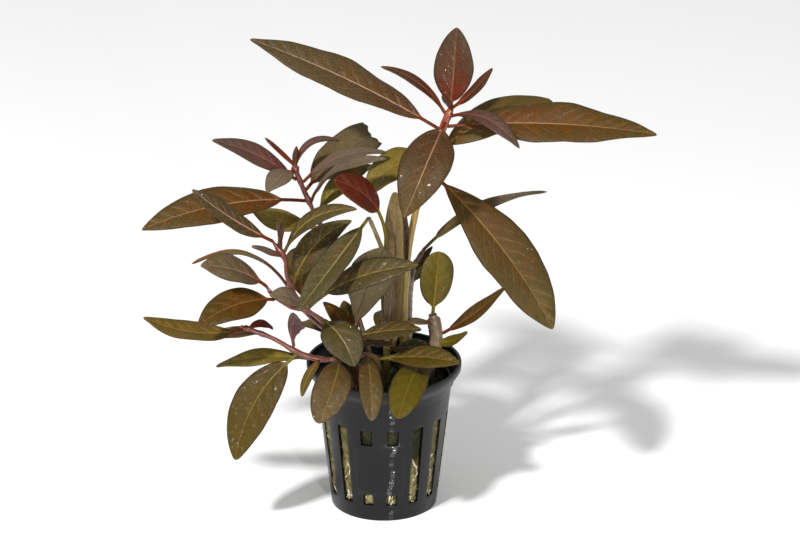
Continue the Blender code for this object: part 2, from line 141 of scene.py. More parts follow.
MOSS_HEIGHT = 1.6
MOSS_WIDTH = 0.3

# Stems
SOCKET_DEPTH = 4.0
AIR = 0.3
ROOT = WOOL_TOP - SOCKET_DEPTH + AIR
UPRIGHT = WOOL_TOP + 3.0
STEM_SAMPLES = 200
STEM_RING = 0.9  # distance between the rings of a stem
STEM_SIDES = 18
STEM_TORN = 0.3  # unevenness of a stem's skin
SHEATH_TORN = 1.3  # of an old stem's crumpled sheath
KNOT = 0.25  # how far a stem swells where a leaf stands
KNOT_LENGTH = 1.6

# Leaves
LEAF_THICKNESS = 0.5  # of the plain solid, which sets where the leaf's foot stands
BLADE_THICKNESS = 0.3
STALK_WIDTH = 1.3
TIP_WIDTH = 0.25
RIB_WIDTH = 0.55  # of the midrib, at its foot
RIB_DEPTH = 0.95  # thickness of the midrib, at its foot
RIB_GROOVE = 0.16  # depth of the groove above it
CROWN = 0.22  # how strongly each half of a blade bulges
MARGIN_ROLL = 0.35  # how far a margin rolls down
LEAF_RING = 0.75  # distance between the rows of points along a leaf
FEWEST_RINGS = 30
HALF = np.array((0.0, 0.04, 0.1, 0.2, 0.33, 0.48, 0.64, 0.8, 0.93, 1.0))  # points from midrib to margin
VEIN_LEAN = 0.95  # how far a side vein runs forward for each millimetre outward
VEIN_BEND = 3.4  # how much further forward it bends by the margin
VEIN_GAP = 5.4  # distance between side veins on a full-sized leaf
VEIN_RELIEF = 0.45
WAVE = 0.45  # height of the waves in a leaf's margin
WAVE_LENGTH = 24.0
BEAD_GAP = 1.5  # from one bead of the wet film to the next
LEAF_VALUE = 0.85  # makes the leaves' colours deeper under their gloss
LEAF_SATURATION = 1.2


class Stem(NamedTuple):
    """A shoot: where it is rooted, its radii, and the route of its axis to its growing tip."""

    name: str
    root: tuple
    foot: float  # radius at the root
    top: float  # radius at the growing tip
    look: str
    route: tuple


class Leaf(NamedTuple):
    """One leaf. It runs from its stem to its tip, and is bowed and turned on the way."""

    name: str
    stem: str
    at: float  # where it stands on the stem, as a share of the stem's length
    tip: tuple
    width: float
    arch: float = 0.0  # how far its middle is lifted off the straight line
    roll: float = 0.0  # degrees that it is turned about its own length
    look: str = "olive"
    sway: float = 0.0  # how far its middle is pushed sideways
    twist: float = 0.0  # degrees that it turns further on the way to its tip
    fold: float = 8.0  # degrees that each half of its blade is raised from flat
    stalk: float = 0.1  # share of its length that is bare stalk
    widest: float = 0.46  # where the blade is widest, as a share of the blade
    full: float = 0.8  # under 1 makes the outline fuller, and its tip rounder, than a sine wave
    kept: float = 1.0  # share of the blade's length that a cut across it has left


STEMS = (
    Stem("main_stem", (7, 9), 1.5, 1.0, "yellow",
         ((7, 9, 72), (9, 8, 95), (14, 8, 118), (20, 8, 136), (23, 8, 144))),
    Stem("upper_left_stem", (-4, 8), 1.0, 0.65, "red",
         ((-8, 10, 62), (-16, 13, 85), (-25, 14, 105), (-30, 13, 118), (-31, 13, 122))),
    Stem("mid_left_stem", (-8, 1), 1.0, 0.65, "red",
         ((-15, -1, 60), (-27, -3, 73), (-33, -5, 86), (-34, -6, 94), (-38, -7, 101))),
    Stem("side_left_stem", (-10, -5), 0.95, 0.65, "red",
         ((-16, -9, 66), (-25, -13, 77), (-32, -15, 80), (-38, -16, 85), (-40, -16, 88))),
    Stem("trailing_stem", (-1, -4), 1.1, 0.7, "red",
         ((-3, -9, 58), (-9, -14, 61), (-20, -17, 61), (-29, -18, 64), (-38, -19, 70), (-49, -20, 75))),
    Stem("right_stem", (16, 6), 1.8, 2.3, "sheath",
         ((18, 6, 56), (18, 6, 62), (17, 6, 68))),
    Stem("back_right_stem", (9, 15), 1.1, 0.8, "sheath",
         ((9, 17, 65), (10, 17, 80), (14, 17, 88))),
    Stem("centre_stem", (1, 1), 1.1, 0.7, "olive",
         ((1, 1, 68), (1, 0, 82), (0, 0, 93), (-5, 0, 107))),
    Stem("front_stem", (-9, -10), 1.1, 0.8, "pink",
         ((-10, -9, 57), (-11, -9, 67))),
)

LEAVES = (
    Leaf("crown_leaf", "main_stem", 1.00, (25, 12, 172), 14, 0, 14, "crown", stalk=0.04, full=0.72),
    Leaf("crown_left_leaf", "main_stem", 0.98, (-1, 6, 160), 5, 3, -28, "crown"),
    Leaf("crown_right_leaf", "main_stem", 1.00, (37, 2, 161), 5.5, -1, 44, "crown"),
    Leaf("crown_purple_leaf", "main_stem", 0.98, (46, -14, 138), 7, 5, 16, "plum"),
    Leaf("long_left_leaf", "main_stem", 0.92, (-46, 25, 163), 17, 2, -20, "bronze"),
    Leaf("long_right_leaf", "main_stem", 0.94, (93, -4, 139), 17.5, 2.5, 28, "copper"),
    Leaf("cut_right_leaf", "main_stem", 0.84, (72, 24, 141), 18, 5, 24, "olive", kept=0.74),
    Leaf("front_leaf", "main_stem", 0.95, (7, -20, 115), 18, 6, -12, "umber", sway=3),
    Leaf("drooping_leaf", "main_stem", 0.77, (58, -18, 73), 21, 4, 26, "amber", widest=0.55, full=0.75),
    Leaf("inner_left_leaf", "main_stem", 0.82, (-7, 11, 111), 16, 3, -30, "moss"),
    Leaf("main_back_leaf", "main_stem", 0.74, (2, 44, 103), 14, 4, 0, "olive"),
    Leaf("main_low_back_leaf", "main_stem", 0.36, (-7, 40, 66), 11, 3, 0, "moss"),

    Leaf("upper_purple_leaf", "upper_left_stem", 0.93, (-59, 9, 132), 9, 2, -32, "plum"),
    Leaf("upper_silver_leaf", "upper_left_stem", 0.97, (-40, -2, 117), 8.5, 2, -10, "silver"),
    Leaf("upper_long_leaf", "upper_left_stem", 0.83, (-83, -4, 104), 15.5, 4, -30, "copper", stalk=0.15),
    Leaf("upper_arched_leaf", "upper_left_stem", 0.91, (1, 10, 127), 8, 4, 14, "silver"),
    Leaf("upper_under_leaf", "upper_left_stem", 0.82, (1, -6, 131), 8, 5, 22, "silver", sway=-3),
    Leaf("upper_green_leaf", "upper_left_stem", 0.76, (-4, 26, 116), 10, 3, 10, "moss"),
    Leaf("upper_cut_leaf", "upper_left_stem", 0.87, (3, 40, 129), 16, 2, 18, "pale", kept=0.75),
    Leaf("upper_yellow_leaf", "upper_left_stem", 0.70, (-47, 22, 102), 10, -2, -20, "moss"),
    Leaf("upper_back_leaf", "upper_left_stem", 0.52, (-20, 42, 69), 14, 4, 0, "olive"),

    Leaf("mid_olive_leaf", "mid_left_stem", 1.00, (-65, -14, 123), 9, -1, -38, "bronze"),
    Leaf("mid_arched_leaf", "mid_left_stem", 0.92, (-9, -12, 115), 8, 5, 32, "dark"),
    Leaf("mid_dark_leaf", "mid_left_stem", 0.73, (-11, 2, 105), 11, 4, 40, "dark", widest=0.38),
    Leaf("mid_thin_leaf", "mid_left_stem", 0.73, (-66, -8, 93), 5, 8, 2, "thin", stalk=0.25),
    Leaf("centre_dark_leaf", "mid_left_stem", 0.57, (12, -16, 96), 12, 4.5, 40, "dark",
         sway=-3, stalk=0.25),
    Leaf("mid_back_leaf", "mid_left_stem", 0.60, (-30, 28, 84), 12, 4, 0, "olive"),
    Leaf("mid_low_back_leaf", "mid_left_stem", 0.33, (-31, 15, 60), 10, 3, 0, "olive"),

    Leaf("side_veined_leaf", "side_left_stem", 1.00, (-62, -26, 100), 12, 2, -36, "veined"),
    Leaf("side_bronze_leaf", "side_left_stem", 0.92, (-63, -34, 81), 13, 3, -34, "rust"),
    Leaf("side_pale_leaf", "side_left_stem", 0.60, (-10, -27, 63), 14, 3, 18, "sage", full=0.65),

    Leaf("trailing_tip_leaf", "trailing_stem", 0.98, (-82, -24, 80), 11, -3, -18, "olive"),
    Leaf("trailing_curled_leaf", "trailing_stem", 0.72, (-27, -24, 76), 8, 5, -86, "mauve"),
    Leaf("trailing_thin_leaf", "trailing_stem", 0.63, (-58, -14, 57), 8, 2, -20, "moss"),
    Leaf("hanging_leaf", "trailing_stem", 0.69, (-51, -30, 29), 15, 5, -40, "golden", full=0.65),
    Leaf("rim_left_leaf", "trailing_stem", 0.48, (-22, -41, 48), 13, 5, -12, "speckled",
         sway=2.5, widest=0.55, full=0.55),
    Leaf("rim_front_leaf", "trailing_stem", 0.34, (-4, -41, 49), 9, 5, -18, "speckled",
         widest=0.55, full=0.55),
    Leaf("rim_right_leaf", "trailing_stem", 0.25, (26, -22, 62), 10, 1.5, 30, "golden", widest=0.55),

    Leaf("centre_large_leaf", "centre_stem", 1.00, (-29, -28, 84), 11.5, 0, -18, "sage", fold=18),
    Leaf("centre_red_leaf", "centre_stem", 0.80, (-17, -8, 124), 12, 6, -54, "red", stalk=0.42, full=0.6),
    Leaf("centre_back_leaf", "centre_stem", 0.13, (3, 38, 56), 12, 6, 0, "olive", stalk=0.25),
    Leaf("centre_pale_leaf", "centre_stem", 0.24, (17, -8, 61), 9, 1, 14, "sage"),
    Leaf("centre_upright_leaf", "centre_stem", 0.20, (4, 6, 114), 10, -1, -5, "straw",
         stalk=0.03, full=0.45),

    Leaf("front_brown_leaf", "front_stem", 0.96, (13, -14, 71), 11, 1, 14, "dark"),
    Leaf("front_tan_leaf", "front_stem", 1.00, (-0.5, -5.5, 98), 16.5, 0, -95, "worn",
         stalk=0.12, widest=0.62, full=0.65),

    Leaf("right_green_leaf", "right_stem", 1.00, (19, 8, 91), 13, 0, 60, "lime",
         stalk=0.03, widest=0.55, full=0.5),
    Leaf("right_long_leaf", "right_stem", 0.74, (42, 2, 80), 6.5, -1, 34, "rust"),
    Leaf("rim_yellow_leaf", "right_stem", 0.38, (5, -37, 48), 12.5, 5.5, -8, "lime", widest=0.65, full=0.5),
    Leaf("back_long_leaf", "back_right_stem", 1.00, (57, 26, 106), 7, 5, 8, "slate", widest=0.33),
)

SMALL_LEAVES = (
    Leaf("crown_bud", "main_stem", 1.00, (20, 0, 152), 3, 0, 0, "bud"),
    Leaf("main_strip", "main_stem", 0.39, (7, 4, 110), 5, 0, -50, "umber"),
    Leaf("upper_curl", "upper_left_stem", 0.98, (-15, 16, 129), 4.5, 5, 14, "plum"),
    Leaf("upper_bud_left", "upper_left_stem", 0.99, (-41, 14, 131), 2.5, 0, -20, "bud"),
    Leaf("upper_bud_right", "upper_left_stem", 0.98, (-30, 11, 129), 2.5, 0, 0, "bud"),
    Leaf("mid_bud_up", "mid_left_stem", 0.93, (-36, -8, 109), 3.5, 0, -40, "bud"),
    Leaf("mid_bud_right", "mid_left_stem", 0.95, (-34, -11, 108), 2.5, 0, 30, "bud"),
    Leaf("mid_bud_grey", "mid_left_stem", 0.90, (-45, -16, 103), 4, 0, -30, "silver"),
    Leaf("side_grey", "side_left_stem", 0.72, (-39, -19, 86), 8, 2, -34, "silver"),
    Leaf("trailing_tan", "trailing_stem", 0.89, (-62, -16, 69), 7, 1, -14, "straw"),
    Leaf("trailing_bud", "trailing_stem", 0.96, (-38, -16, 72), 4, 2, 20, "bud"),
    Leaf("trailing_small", "trailing_stem", 0.57, (-28, -30, 53), 6, 2, 22, "olive"),
    Leaf("front_dark", "front_stem", 0.85, (4, -10, 63), 6, 1, 2, "dark"),
    Leaf("front_up", "front_stem", 0.80, (-21, -4, 77), 8, 2, -16, "rust"),
    Leaf("centre_strip", "centre_stem", 0.34, (3, -2, 86), 4.5, 0, 0, "straw"),
    Leaf("front_back", "front_stem", 0.90, (-14, 4, 74), 7, 2, 0, "olive"),
    Leaf("right_short", "right_stem", 0.62, (29, -2, 65), 5, -1.5, 40, "lime"),
    Leaf("right_small", "right_stem", 0.85, (7, -4, 69), 4, 1, -20, "straw"),
    Leaf("back_low", "back_right_stem", 0.70, (20, 42, 74), 8, 2, 0, "moss"),
    Leaf("back_bud", "back_right_stem", 0.80, (17, 22, 87), 3.5, 0, 10, "rust"),
)


class Look(NamedTuple):
    """The colours of a leaf, as sRGB hex, and how its surface is made."""

    foot: str  # upper side by the stalk, then on to the tip
    middle: str
    tip: str
    patch: str  # cloudy patches between the veins
    rib: str
    patches: float = 0.5  # how strong the patches are
    speckle: str = "#624024"
    speckles: float = 0.25
    gloss: float = 0.42  # least roughness of the leaf's waxy skin
    veins: float = 0.2  # how plain the side veins are
    stalk: str = "#6a3828"
    beads: float = 0.1  # how much of the skin the wet film stands on
    under: str = "#4a4036"  # underside
    edge: str = "#3a2a1c"


LOOKS = {
    # Young leaves of the crown: wine-brown with a red foot and a pink midrib
    "crown": Look("#642820", "#482820", "#443228", "#38301e", "#7a5a4c", under="#42303a"),
    # Small leaves turned plum by strong light, greyish where the skin shines
    "plum": Look("#5e302c", "#563c3a", "#483e34", "#40322c", "#785c54", under="#503a3a"),
    # The long left leaf: bronze with a bright pink-white midrib
    "bronze": Look("#4c2a1a", "#463622", "#48402a", "#3a341c", "#b8a090"),
    # Long leaves, copper over green, most orange along the middle
    "copper": Look("#522c1e", "#52361e", "#4a3c20", "#3e361c", "#a08468",
                   speckle="#6a4222", speckles=0.3, veins=0.3),
    # Olive leaves, stained copper
    "olive": Look("#5a422c", "#645230", "#5c4e2e", "#443c1e", "#8a7a50"),
    # The front leaf: umber with pink-grey light over it
    "umber": Look("#442e26", "#3e2a1a", "#44381c", "#3a2e1c", "#967c6a"),
    # The drooping leaf: amber-brown, greener by the margins, with pale curved side veins
    "amber": Look("#4c3820", "#4c3824", "#52462e", "#3e361c", "#84724e",
                  patches=0.6, speckles=0.2, veins=0.32),
    # Mossy green leaves
    "moss": Look("#5c5028", "#76683a", "#887c54", "#584e26", "#8a7e48", stalk="#645c30"),
    # Leaves that show a pale silvery-pink skin
    "silver": Look("#66524a", "#685a4c", "#62584a", "#564c3c", "#7e6e60",
                   patches=0.4, speckles=0.2, gloss=0.46),
    # Pale sage leaves, bleached between the veins
    "sage": Look("#3a321c", "#443e24", "#3c3a24", "#3c3824", "#8c8262", patches=0.6, gloss=0.46,
                 stalk="#645c30", beads=0.7),
    # Shaded leaves, dark olive with a pale midrib
    "dark": Look("#443822", "#463c26", "#464028", "#342e18", "#928650",
                 stalk="#584a2a", beads=0.8, edge="#2e2214"),
    # The thin hooked leaf: pale green with a red tip
    "thin": Look("#6e6c48", "#727052", "#84443a", "#5a5432", "#7e7850"),
    # Olive-grey leaf with a red foot and plain side veins
    "veined": Look("#562c24", "#5a4c3c", "#625a42", "#463f2c", "#887a6a", beads=0.6),
    # Orange-brown leaves
    "rust": Look("#3e2816", "#483016", "#42361a", "#3e341c", "#745e42", speckle="#6a421e", speckles=0.4),
    # A rolled leaf that shows its mauve underside
    "mauve": Look("#503834", "#543630", "#4e3a36", "#443230", "#765e56", under="#523c3e"),
    # Old leaves that hang over the rim: golden olive
    "golden": Look("#3c2c12", "#443614", "#4c401c", "#3c3218", "#6e6238", patches=0.4, veins=0.1,
                   stalk="#645c30", beads=0.6),
    # Old leaves with fine orange stipple
    "speckled": Look("#443824", "#4c3c26", "#544832", "#403422", "#6e623c", speckle="#5e4424", speckles=0.35,
                     stalk="#645c30", beads=0.6),
    # The red leaf in the middle of the plant
    "red": Look("#48221a", "#461e16", "#4a2018", "#42241c", "#7c5242", patches=0.4, speckle="#62362a",
                speckles=0.2, stalk="#645628"),
    # Worn straw-coloured leaves with a fibrous skin
    "straw": Look("#6e543a", "#76664a", "#62583a", "#78694c", "#8e8268", patches=0.7, speckle="#7e6450",
                  speckles=0.5, gloss=0.55, beads=0.6),
    # The worn leaf in the middle: red foot, fibrous straw below and olive above
    "worn": Look("#765036", "#8e7e58", "#7e7046", "#766a48", "#82765c", patches=0.6, speckle="#7a6c50",
                 speckles=0.5, gloss=0.5, beads=0.6),
    # The narrow leaf behind: orange-olive at its foot, slate grey at its tip
    "slate": Look("#5e5230", "#6a5234", "#5c5652", "#524a36", "#625a44", stalk="#645c30", beads=0.6),
    # The cut leaf that the light shows through: pale olive-grey
    "pale": Look("#4e4034", "#64543a", "#544a3a", "#4e442e", "#76684e", speckle="#665a40", gloss=0.46),
    # Yellow-green leaves on the right
    "lime": Look("#564c28", "#544c22", "#564e24", "#423a1c", "#786c38", stalk="#645c30"),
    # Buds and the youngest pairs of leaves: brick red
    "bud": Look("#5a241a", "#54241a", "#4c2e24", "#402018", "#6e3e32",
                patches=0.3, speckles=0.1, gloss=0.38),
}


# Kinds of node, and settings that several nodes share
ATTRIBUTE = "ShaderNodeAttribute"
SPLIT = "ShaderNodeSeparateXYZ"
NOISE = "ShaderNodeTexNoise"
CELLS = "ShaderNodeTexVoronoi"
RANGE = "ShaderNodeMapRange"
RAMP = "ShaderNodeValToRGB"
MATH = "ShaderNodeMath"
VECTOR_MATH = "ShaderNodeVectorMath"
COMBINE = "ShaderNodeCombineXYZ"
NAMED = "GeometryNodeInputNamedAttribute"
CIRCLE = "GeometryNodeCurvePrimitiveCircle"
RANDOM = "FunctionNodeRandomValue"
MAPPING = "ShaderNodeMapping"
MIX = "ShaderNodeMix"
BUMP = "ShaderNodeBump"
SMOOTH = {"interpolation_type": "SMOOTHSTEP"}
COLORS = {"data_type": "RGBA", "out": 2}


def linear(hex_color):
    """A colour written as sRGB hex, as linear red, green and blue with full alpha."""
    parts = [int(hex_color[i:i + 2], 16) / 255 for i in (1, 3, 5)]
    return tuple([p / 12.92 if p <= 0.04045 else ((p + 0.055) / 1.055) ** 2.4 for p in parts] + [1.0])


def add_node(tree, kind, inputs=(), out=0, stops=(), **settings):
    """Add a node with its settings and links, and give back one of its outputs, or all for None.

    An input is given a value, or another node's output to link. A colour ramp is given its stops.
    """
    node = tree.nodes.new(kind)
    for name, value in settings.items():
        setattr(node, name, value)
    for name, value in inputs.items() if isinstance(inputs, dict) else enumerate(inputs):
        if isinstance(value, bpy.types.NodeSocket):
            tree.links.new(value, node.inputs[name])
        else:
            node.inputs[name].default_value = value
    for _ in stops[2:]:
        node.color_ramp.elements.new(0.5)
    for number, (place, color) in enumerate(stops):
        node.color_ramp.elements[number].position = place
        node.color_ramp.elements[number].color = linear(color)
    return node.outputs if out is None else node.outputs[out]


def start_material(name):
    """A new material, the function that adds its nodes, and the place on its piece in millimetres."""
    material = bpy.data.materials.new(name)
    material.use_nodes = True
    material.node_tree.nodes.clear()
    add = partial(add_node, material.node_tree)
    place = add("ShaderNodeTexCoord", out="Object")
    return material, add, add(VECTOR_MATH, {0: place, "Scale": 1 / MM}, operation="SCALE")


def end_material(material, add, finish):
    """End a material in a surface with this finish."""
    surface = add("ShaderNodeBsdfPrincipled", finish)
    add("ShaderNodeOutputMaterial", (surface,), out=None)
    return material


def leaf_material(name, look):
    """Skin of a living leaf: waxy, wet and faintly see-through, veined and mottled."""
    material, add, space = start_material("leaf_skin_" + name)
    place = add(ATTRIBUTE, out="Vector", attribute_name="leaf_place")
    across, outward = add(SPLIT, (place,), out=None)[1:]
    growth = add(ATTRIBUTE, out="Vector", attribute_name="leaf_growth")
    share, phase, side = add(SPLIT, (growth,), out=None)
    blade = add(ATTRIBUTE, out="Fac", attribute_name="leaf_blade")
    tone = add(ATTRIBUTE, out="Fac", attribute_name="leaf_tone")

    # Colour from the foot to the tip, with an uneven front
    cloud = add(NOISE, {"Vector": space, "Scale": 1 / 11.0, "Detail": 3.0})
    warped = add(MATH, (cloud, 0.5, -0.25), operation="MULTIPLY_ADD")
    warped = add(MATH, (warped, share), operation="ADD")
    color = add(RAMP, (warped,), stops=((0.04, look.foot), (0.4, look.middle), (0.95, look.tip)))

    # Greener towards the margins, in an uneven band, and in clouds between the veins
    band = add(MATH, (cloud, 0.9, outward), operation="MULTIPLY_ADD")
    band = add(RANGE, (band, 0.75, 1.45, 0.0, look.patches), **SMOOTH)
    spread = add(NOISE, {"Vector": space, "Scale": 1 / 5.0, "Detail": 4.0})
    spread = add(RANGE, (spread, 0.44, 0.66, 0.0, look.patches), **SMOOTH)

    # Warmer along the middle, in streaks that run out with the side veins
    drift = add(COMBINE, (share, phase, tone))
    drift = add(VECTOR_MATH, (drift, (9.0, 1.5, 30.0)), operation="MULTIPLY")
    drift = add(NOISE, {"Vector": drift, "Scale": 1.0, "Detail": 3.0})
    inner = add(MATH, (outward, -0.3, drift), operation="MULTIPLY_ADD")
    inner = add(RANGE, (inner, 0.34, 0.6, 0.0, look.speckles), **SMOOTH)

    # Side veins, which wander and fade in places
    vein = add(NOISE, {"Vector": space, "Scale": 1 / 7.0, "Detail": 2.0})
    vein = add(MATH, (vein, 0.35, phase), operation="MULTIPLY_ADD")
    vein = add(MATH, (vein, 0.5), operation="PINGPONG")
    vein = add(RANGE, (vein, 0.01, 0.1, 1.0, 0.0), **SMOOTH)
    reach = add(RANGE, (outward, 0.4, 0.92, 1.0, 0.0))
    fades = add(RANGE, (cloud, 0.4, 0.62))
    vein = add(MATH, (vein, reach), operation="MULTIPLY")
    vein = add(MATH, (vein, fades), operation="MULTIPLY")
    pale = add(MATH, (vein, look.veins), operation="MULTIPLY")

    # Net of the finest veins, 1.3 mm across, and stipple of dots under half a millimetre
    net = add(CELLS, {"Vector": space, "Scale": 1 / 1.3}, feature="DISTANCE_TO_EDGE")
    net = add(RANGE, (net, 0.02, 0.2, 1.0, 0.0))
    faint = add(MATH, (net, 0.06), operation="MULTIPLY")
    dots = add(NOISE, {"Vector": space, "Scale": 1.3, "Detail": 2.0})
    warm = add(RANGE, (dots, 0.5, 0.66, 0.0, look.speckles), **SMOOTH)
    dark = add(RANGE, (dots, 0.46, 0.3, 0.0, 0.28))

    # Midrib, and the stalk, whose colour runs on into the midrib's foot
    narrow = add(RANGE, (share, 0.0, 1.0, 0.42, 0.1))
    rib = add(MATH, (across,), operation="ABSOLUTE")
    rib = add(MATH, (rib, narrow), operation="DIVIDE")
    fading = add(RANGE, (share, 0.2, 1.0, 0.95, 0.5))
    rib = add(RANGE, (rib, 0.5, 1.1, fading, 0.0), **SMOOTH)
    foot = add(RANGE, (share, 0.1, 0.45, 0.7, 0.0))
    foot = add(MATH, (rib, foot), operation="MULTIPLY")
    bare = add(MATH, (1.0, blade), operation="SUBTRACT")
    foot = add(MATH, (foot, bare), operation="MAXIMUM")
    rim = add(RANGE, (outward, 0.88, 0.99, 0.0, 0.7), **SMOOTH)

    layers = (
        (band, look.patch),
        (spread, look.patch),
        (inner, look.speckle),
        (faint, look.rib),
        (warm, look.speckle),
        (dark, look.edge),
        (pale, look.rib),
        (rib, look.rib),
        (foot, look.stalk),
        (rim, look.edge),
    )
    for mask, shade in layers:
        color = add(MIX, {0: mask, 6: color, 7: linear(shade)}, **COLORS)

    # The underside, with its own veins
    below = add(RANGE, (side, 0.45, 0.75))
    shown = add(MATH, (vein, rib), operation="MAXIMUM")
    shown = add(MATH, (shown, 0.4), operation="MULTIPLY")
    under = add(MIX, {0: shown, 6: linear(look.under), 7: linear(look.rib)}, **COLORS)
    under = add(MIX, {0: 0.35, 6: under, 7: color}, **COLORS)
    color = add(MIX, {0: below, 6: color, 7: under}, **COLORS)

    # The gloss pales the colours, so they are deeper under it. Each leaf is a little lighter or darker
    # than the next
    light = add(RANGE, (tone, 0.0, 1.0, LEAF_VALUE * 0.93, LEAF_VALUE * 1.07))
    color = add("ShaderNodeHueSaturation", {"Saturation": LEAF_SATURATION, "Value": light, "Color": color})

    # Relief of the skin: puffed between the veins, sunk along them, finely grained
    height = add(NOISE, {"Vector": space, "Scale": 2.2, "Detail": 2.0})
    height = add(MATH, (net, -0.5, height), operation="MULTIPLY_ADD")
    height = add(MATH, (vein, -1.4, height), operation="MULTIPLY_ADD")
    rough = add(NOISE, {"Vector": space, "Scale": 1 / 4.0, "Detail": 3.0})

    # Wet film that stands in beads, drawn larger than life so that their glints show
    beads = add(CELLS, {"Vector": space, "Scale": 1 / BEAD_GAP}, out=None)
    dome = add(RANGE, (beads["Distance"], 0.0, 0.42, 1.0, 0.0), **SMOOTH)
    wet = add(SPLIT, (beads["Color"],))
    wet = add(MATH, (wet, look.beads), operation="LESS_THAN")
    wet = add(MATH, (dome, wet), operation="MULTIPLY")
    return end_material(material, add, {
        "Base Color": color,
        "Roughness": add(RANGE, (rough, 0.3, 0.7, look.gloss, look.gloss + 0.15)),
        "IOR": 1.42,
        "Specular IOR Level": 0.22,
        "Normal": add(BUMP, {"Height": height, "Strength": 0.7, "Distance": 0.16 * MM}),
        "Subsurface Weight": 0.1,
        "Subsurface Radius": (1.0, 0.55, 0.2),
        "Subsurface Scale": 0.5 * MM,
        "Coat Weight": add(RANGE, (wet, 0.05, 0.2, 0.04, 1.0)),
        "Coat Roughness": 0.08,
        "Coat IOR": 1.5,
        "Coat Normal": add(BUMP, {"Height": dome, "Strength": 1.0, "Distance": 0.35 * MM}),
    })


class Shoot(NamedTuple):
    """The colours of a stem from its root to its growing tip."""

    foot: str
    middle: str
    top: str
    streak: str


SHOOTS = {
    "yellow": Shoot("#746430", "#8a742a", "#7c3422", "#a88c4c"),
    "olive": Shoot("#746438", "#7c6a34", "#645630", "#a28854"),
    "red": Shoot("#6c5c38", "#5e3624", "#622a1e", "#8a5c48"),
    "pink": Shoot("#5a4e34", "#60402e", "#643024", "#8a6450"),
    "sheath": Shoot("#6c5e48", "#84725c", "#705a46", "#b2a68c"),
}


def stem_material(name, shoot):
    """Skin of a living stem: smooth, wet and ridged along its length."""
    material, add, space = start_material("stem_skin_" + name)
    share = add(ATTRIBUTE, out="Fac", attribute_name="share")
    warped = add(NOISE, {"Vector": space, "Scale": 0.2, "Detail": 2.0})
    warped = add(MATH, (warped, 0.4, -0.2), operation="MULTIPLY_ADD")
    warped = add(MATH, (warped, share), operation="ADD")
    color = add(RAMP, (warped,), stops=((0.05, shoot.foot), (0.45, shoot.middle), (0.9, shoot.top)))
    streak = add(MAPPING, {"Vector": space, "Scale": (1.6, 1.6, 0.16)})
    streak = add(NOISE, {"Vector": streak, "Scale": 1.0, "Detail": 3.0})
    shown = add(RANGE, (streak, 0.52, 0.74, 0.0, 0.4))
    return end_material(material, add, {
        "Base Color": add(MIX, {0: shown, 6: color, 7: linear(shoot.streak)}, **COLORS),
        "Roughness": 0.3,
        "IOR": 1.42,
        "Normal": add(BUMP, {"Height": streak, "Strength": 0.5, "Distance": 0.25 * MM}),
        "Subsurface Weight": 0.2,
        "Subsurface Radius": (1.0, 0.5, 0.2),
        "Subsurface Scale": 0.8 * MM,
        "Coat Weight": 0.4,
        "Coat Roughness": 0.12,
    })


def plastic_material():
    """Black polypropylene, injection-moulded: smooth and wet, with a film of water down its front."""
    material, add, space = start_material("black_moulded_polypropylene")
    cloud = add(NOISE, {"Vector": space, "Scale": 1 / 9.0, "Detail": 4.0})

    # The film wanders and breaks on its way down, and ripples across its strip
    drawn = []
    for scale, detail in (((0.0, 0.0, 0.12), 3.0), ((0.0, 0.0, 0.3), 2.0), ((0.2, 0.2, 0.7), 2.0)):
        run = add(MAPPING, {"Vector": space, "Scale": scale})
        drawn.append(add(NOISE, {"Vector": run, "Scale": 1.0, "Detail": detail}))
    wander, breaks, ripple = drawn
    right, back = add(SPLIT, (space,), out=None)[:2]
    film = add(MATH, (wander, -2 * RUN_WANDER, right), operation="MULTIPLY_ADD")
    film = add(MATH, (film, RUN_PLACE - RUN_WANDER), operation="SUBTRACT")
    film = add(MATH, (film,), operation="ABSOLUTE")
    film = add(RANGE, (film, 0.4 * RUN_WIDTH, 0.6 * RUN_WIDTH, 1.0, 0.0))
    front = add(MATH, (back, 0.0), operation="LESS_THAN")
    film = add(MATH, (film, front), operation="MULTIPLY")
    whole = add(RANGE, (breaks, 0.42, 0.56))
    return end_material(material, add, {
        "Base Color": add(MIX, {0: cloud, 6: linear(PLASTIC_COLOR), 7: linear(PLASTIC_WORN)}, **COLORS),
        "Roughness": add(RANGE, (cloud, 0.35, 0.65, 0.26, 0.4)),
        "IOR": 1.49,
        "Specular IOR Level": 0.3,
        "Normal": add(BUMP, {"Height": cloud, "Strength": 0.5, "Distance": 0.3 * MM}),
        "Coat Weight": add(MATH, (film, whole), operation="MULTIPLY"),
        "Coat Roughness": 0.07,
        "Coat IOR": 1.8,
        "Coat Normal": add(BUMP, {"Height": ripple, "Strength": 1.0, "Distance": 3.0 * MM}),
    })


def wool_material(name, dark, middle, pale, green):
    """Rock wool: matted mineral fibre, damp, stained by peat and algae, and dark green with painted shade
    where little light comes.
    """
    material, add, space = start_material(name)
    cloud = add(NOISE, {"Vector": space, "Scale": 0.45, "Detail": 5.0})
    color = add(RAMP, (cloud,), stops=((0.32, dark), (0.5, middle), (0.68, pale)))
    # Dark green where stained by algae, and as painted shade at the top, in the upper windows and in the
    # washed-out slot
    stain = add(ATTRIBUTE, out="Fac", attribute_name="stain")
    stain = add(MATH, (cloud, 0.8, stain), operation="MULTIPLY_ADD")
    stain = add(RANGE, (stain, 0.45, 1.15, 0.0, 0.95))
    fibre = add(NOISE, {"Vector": space, "Scale": 2.2, "Detail": 4.0})
    return end_material(material, add, {
        "Base Color": add(MIX, {0: stain, 6: color, 7: linear(green)}, **COLORS),
        "Roughness": 0.7,
        "IOR": 1.5,
        "Specular IOR Level": 0.2,
        "Normal": add(BUMP, {"Height": fibre, "Strength": 0.9, "Distance": 0.4 * MM}),
        "Coat Weight": 0.05,
        "Coat Roughness": 0.3,
    })


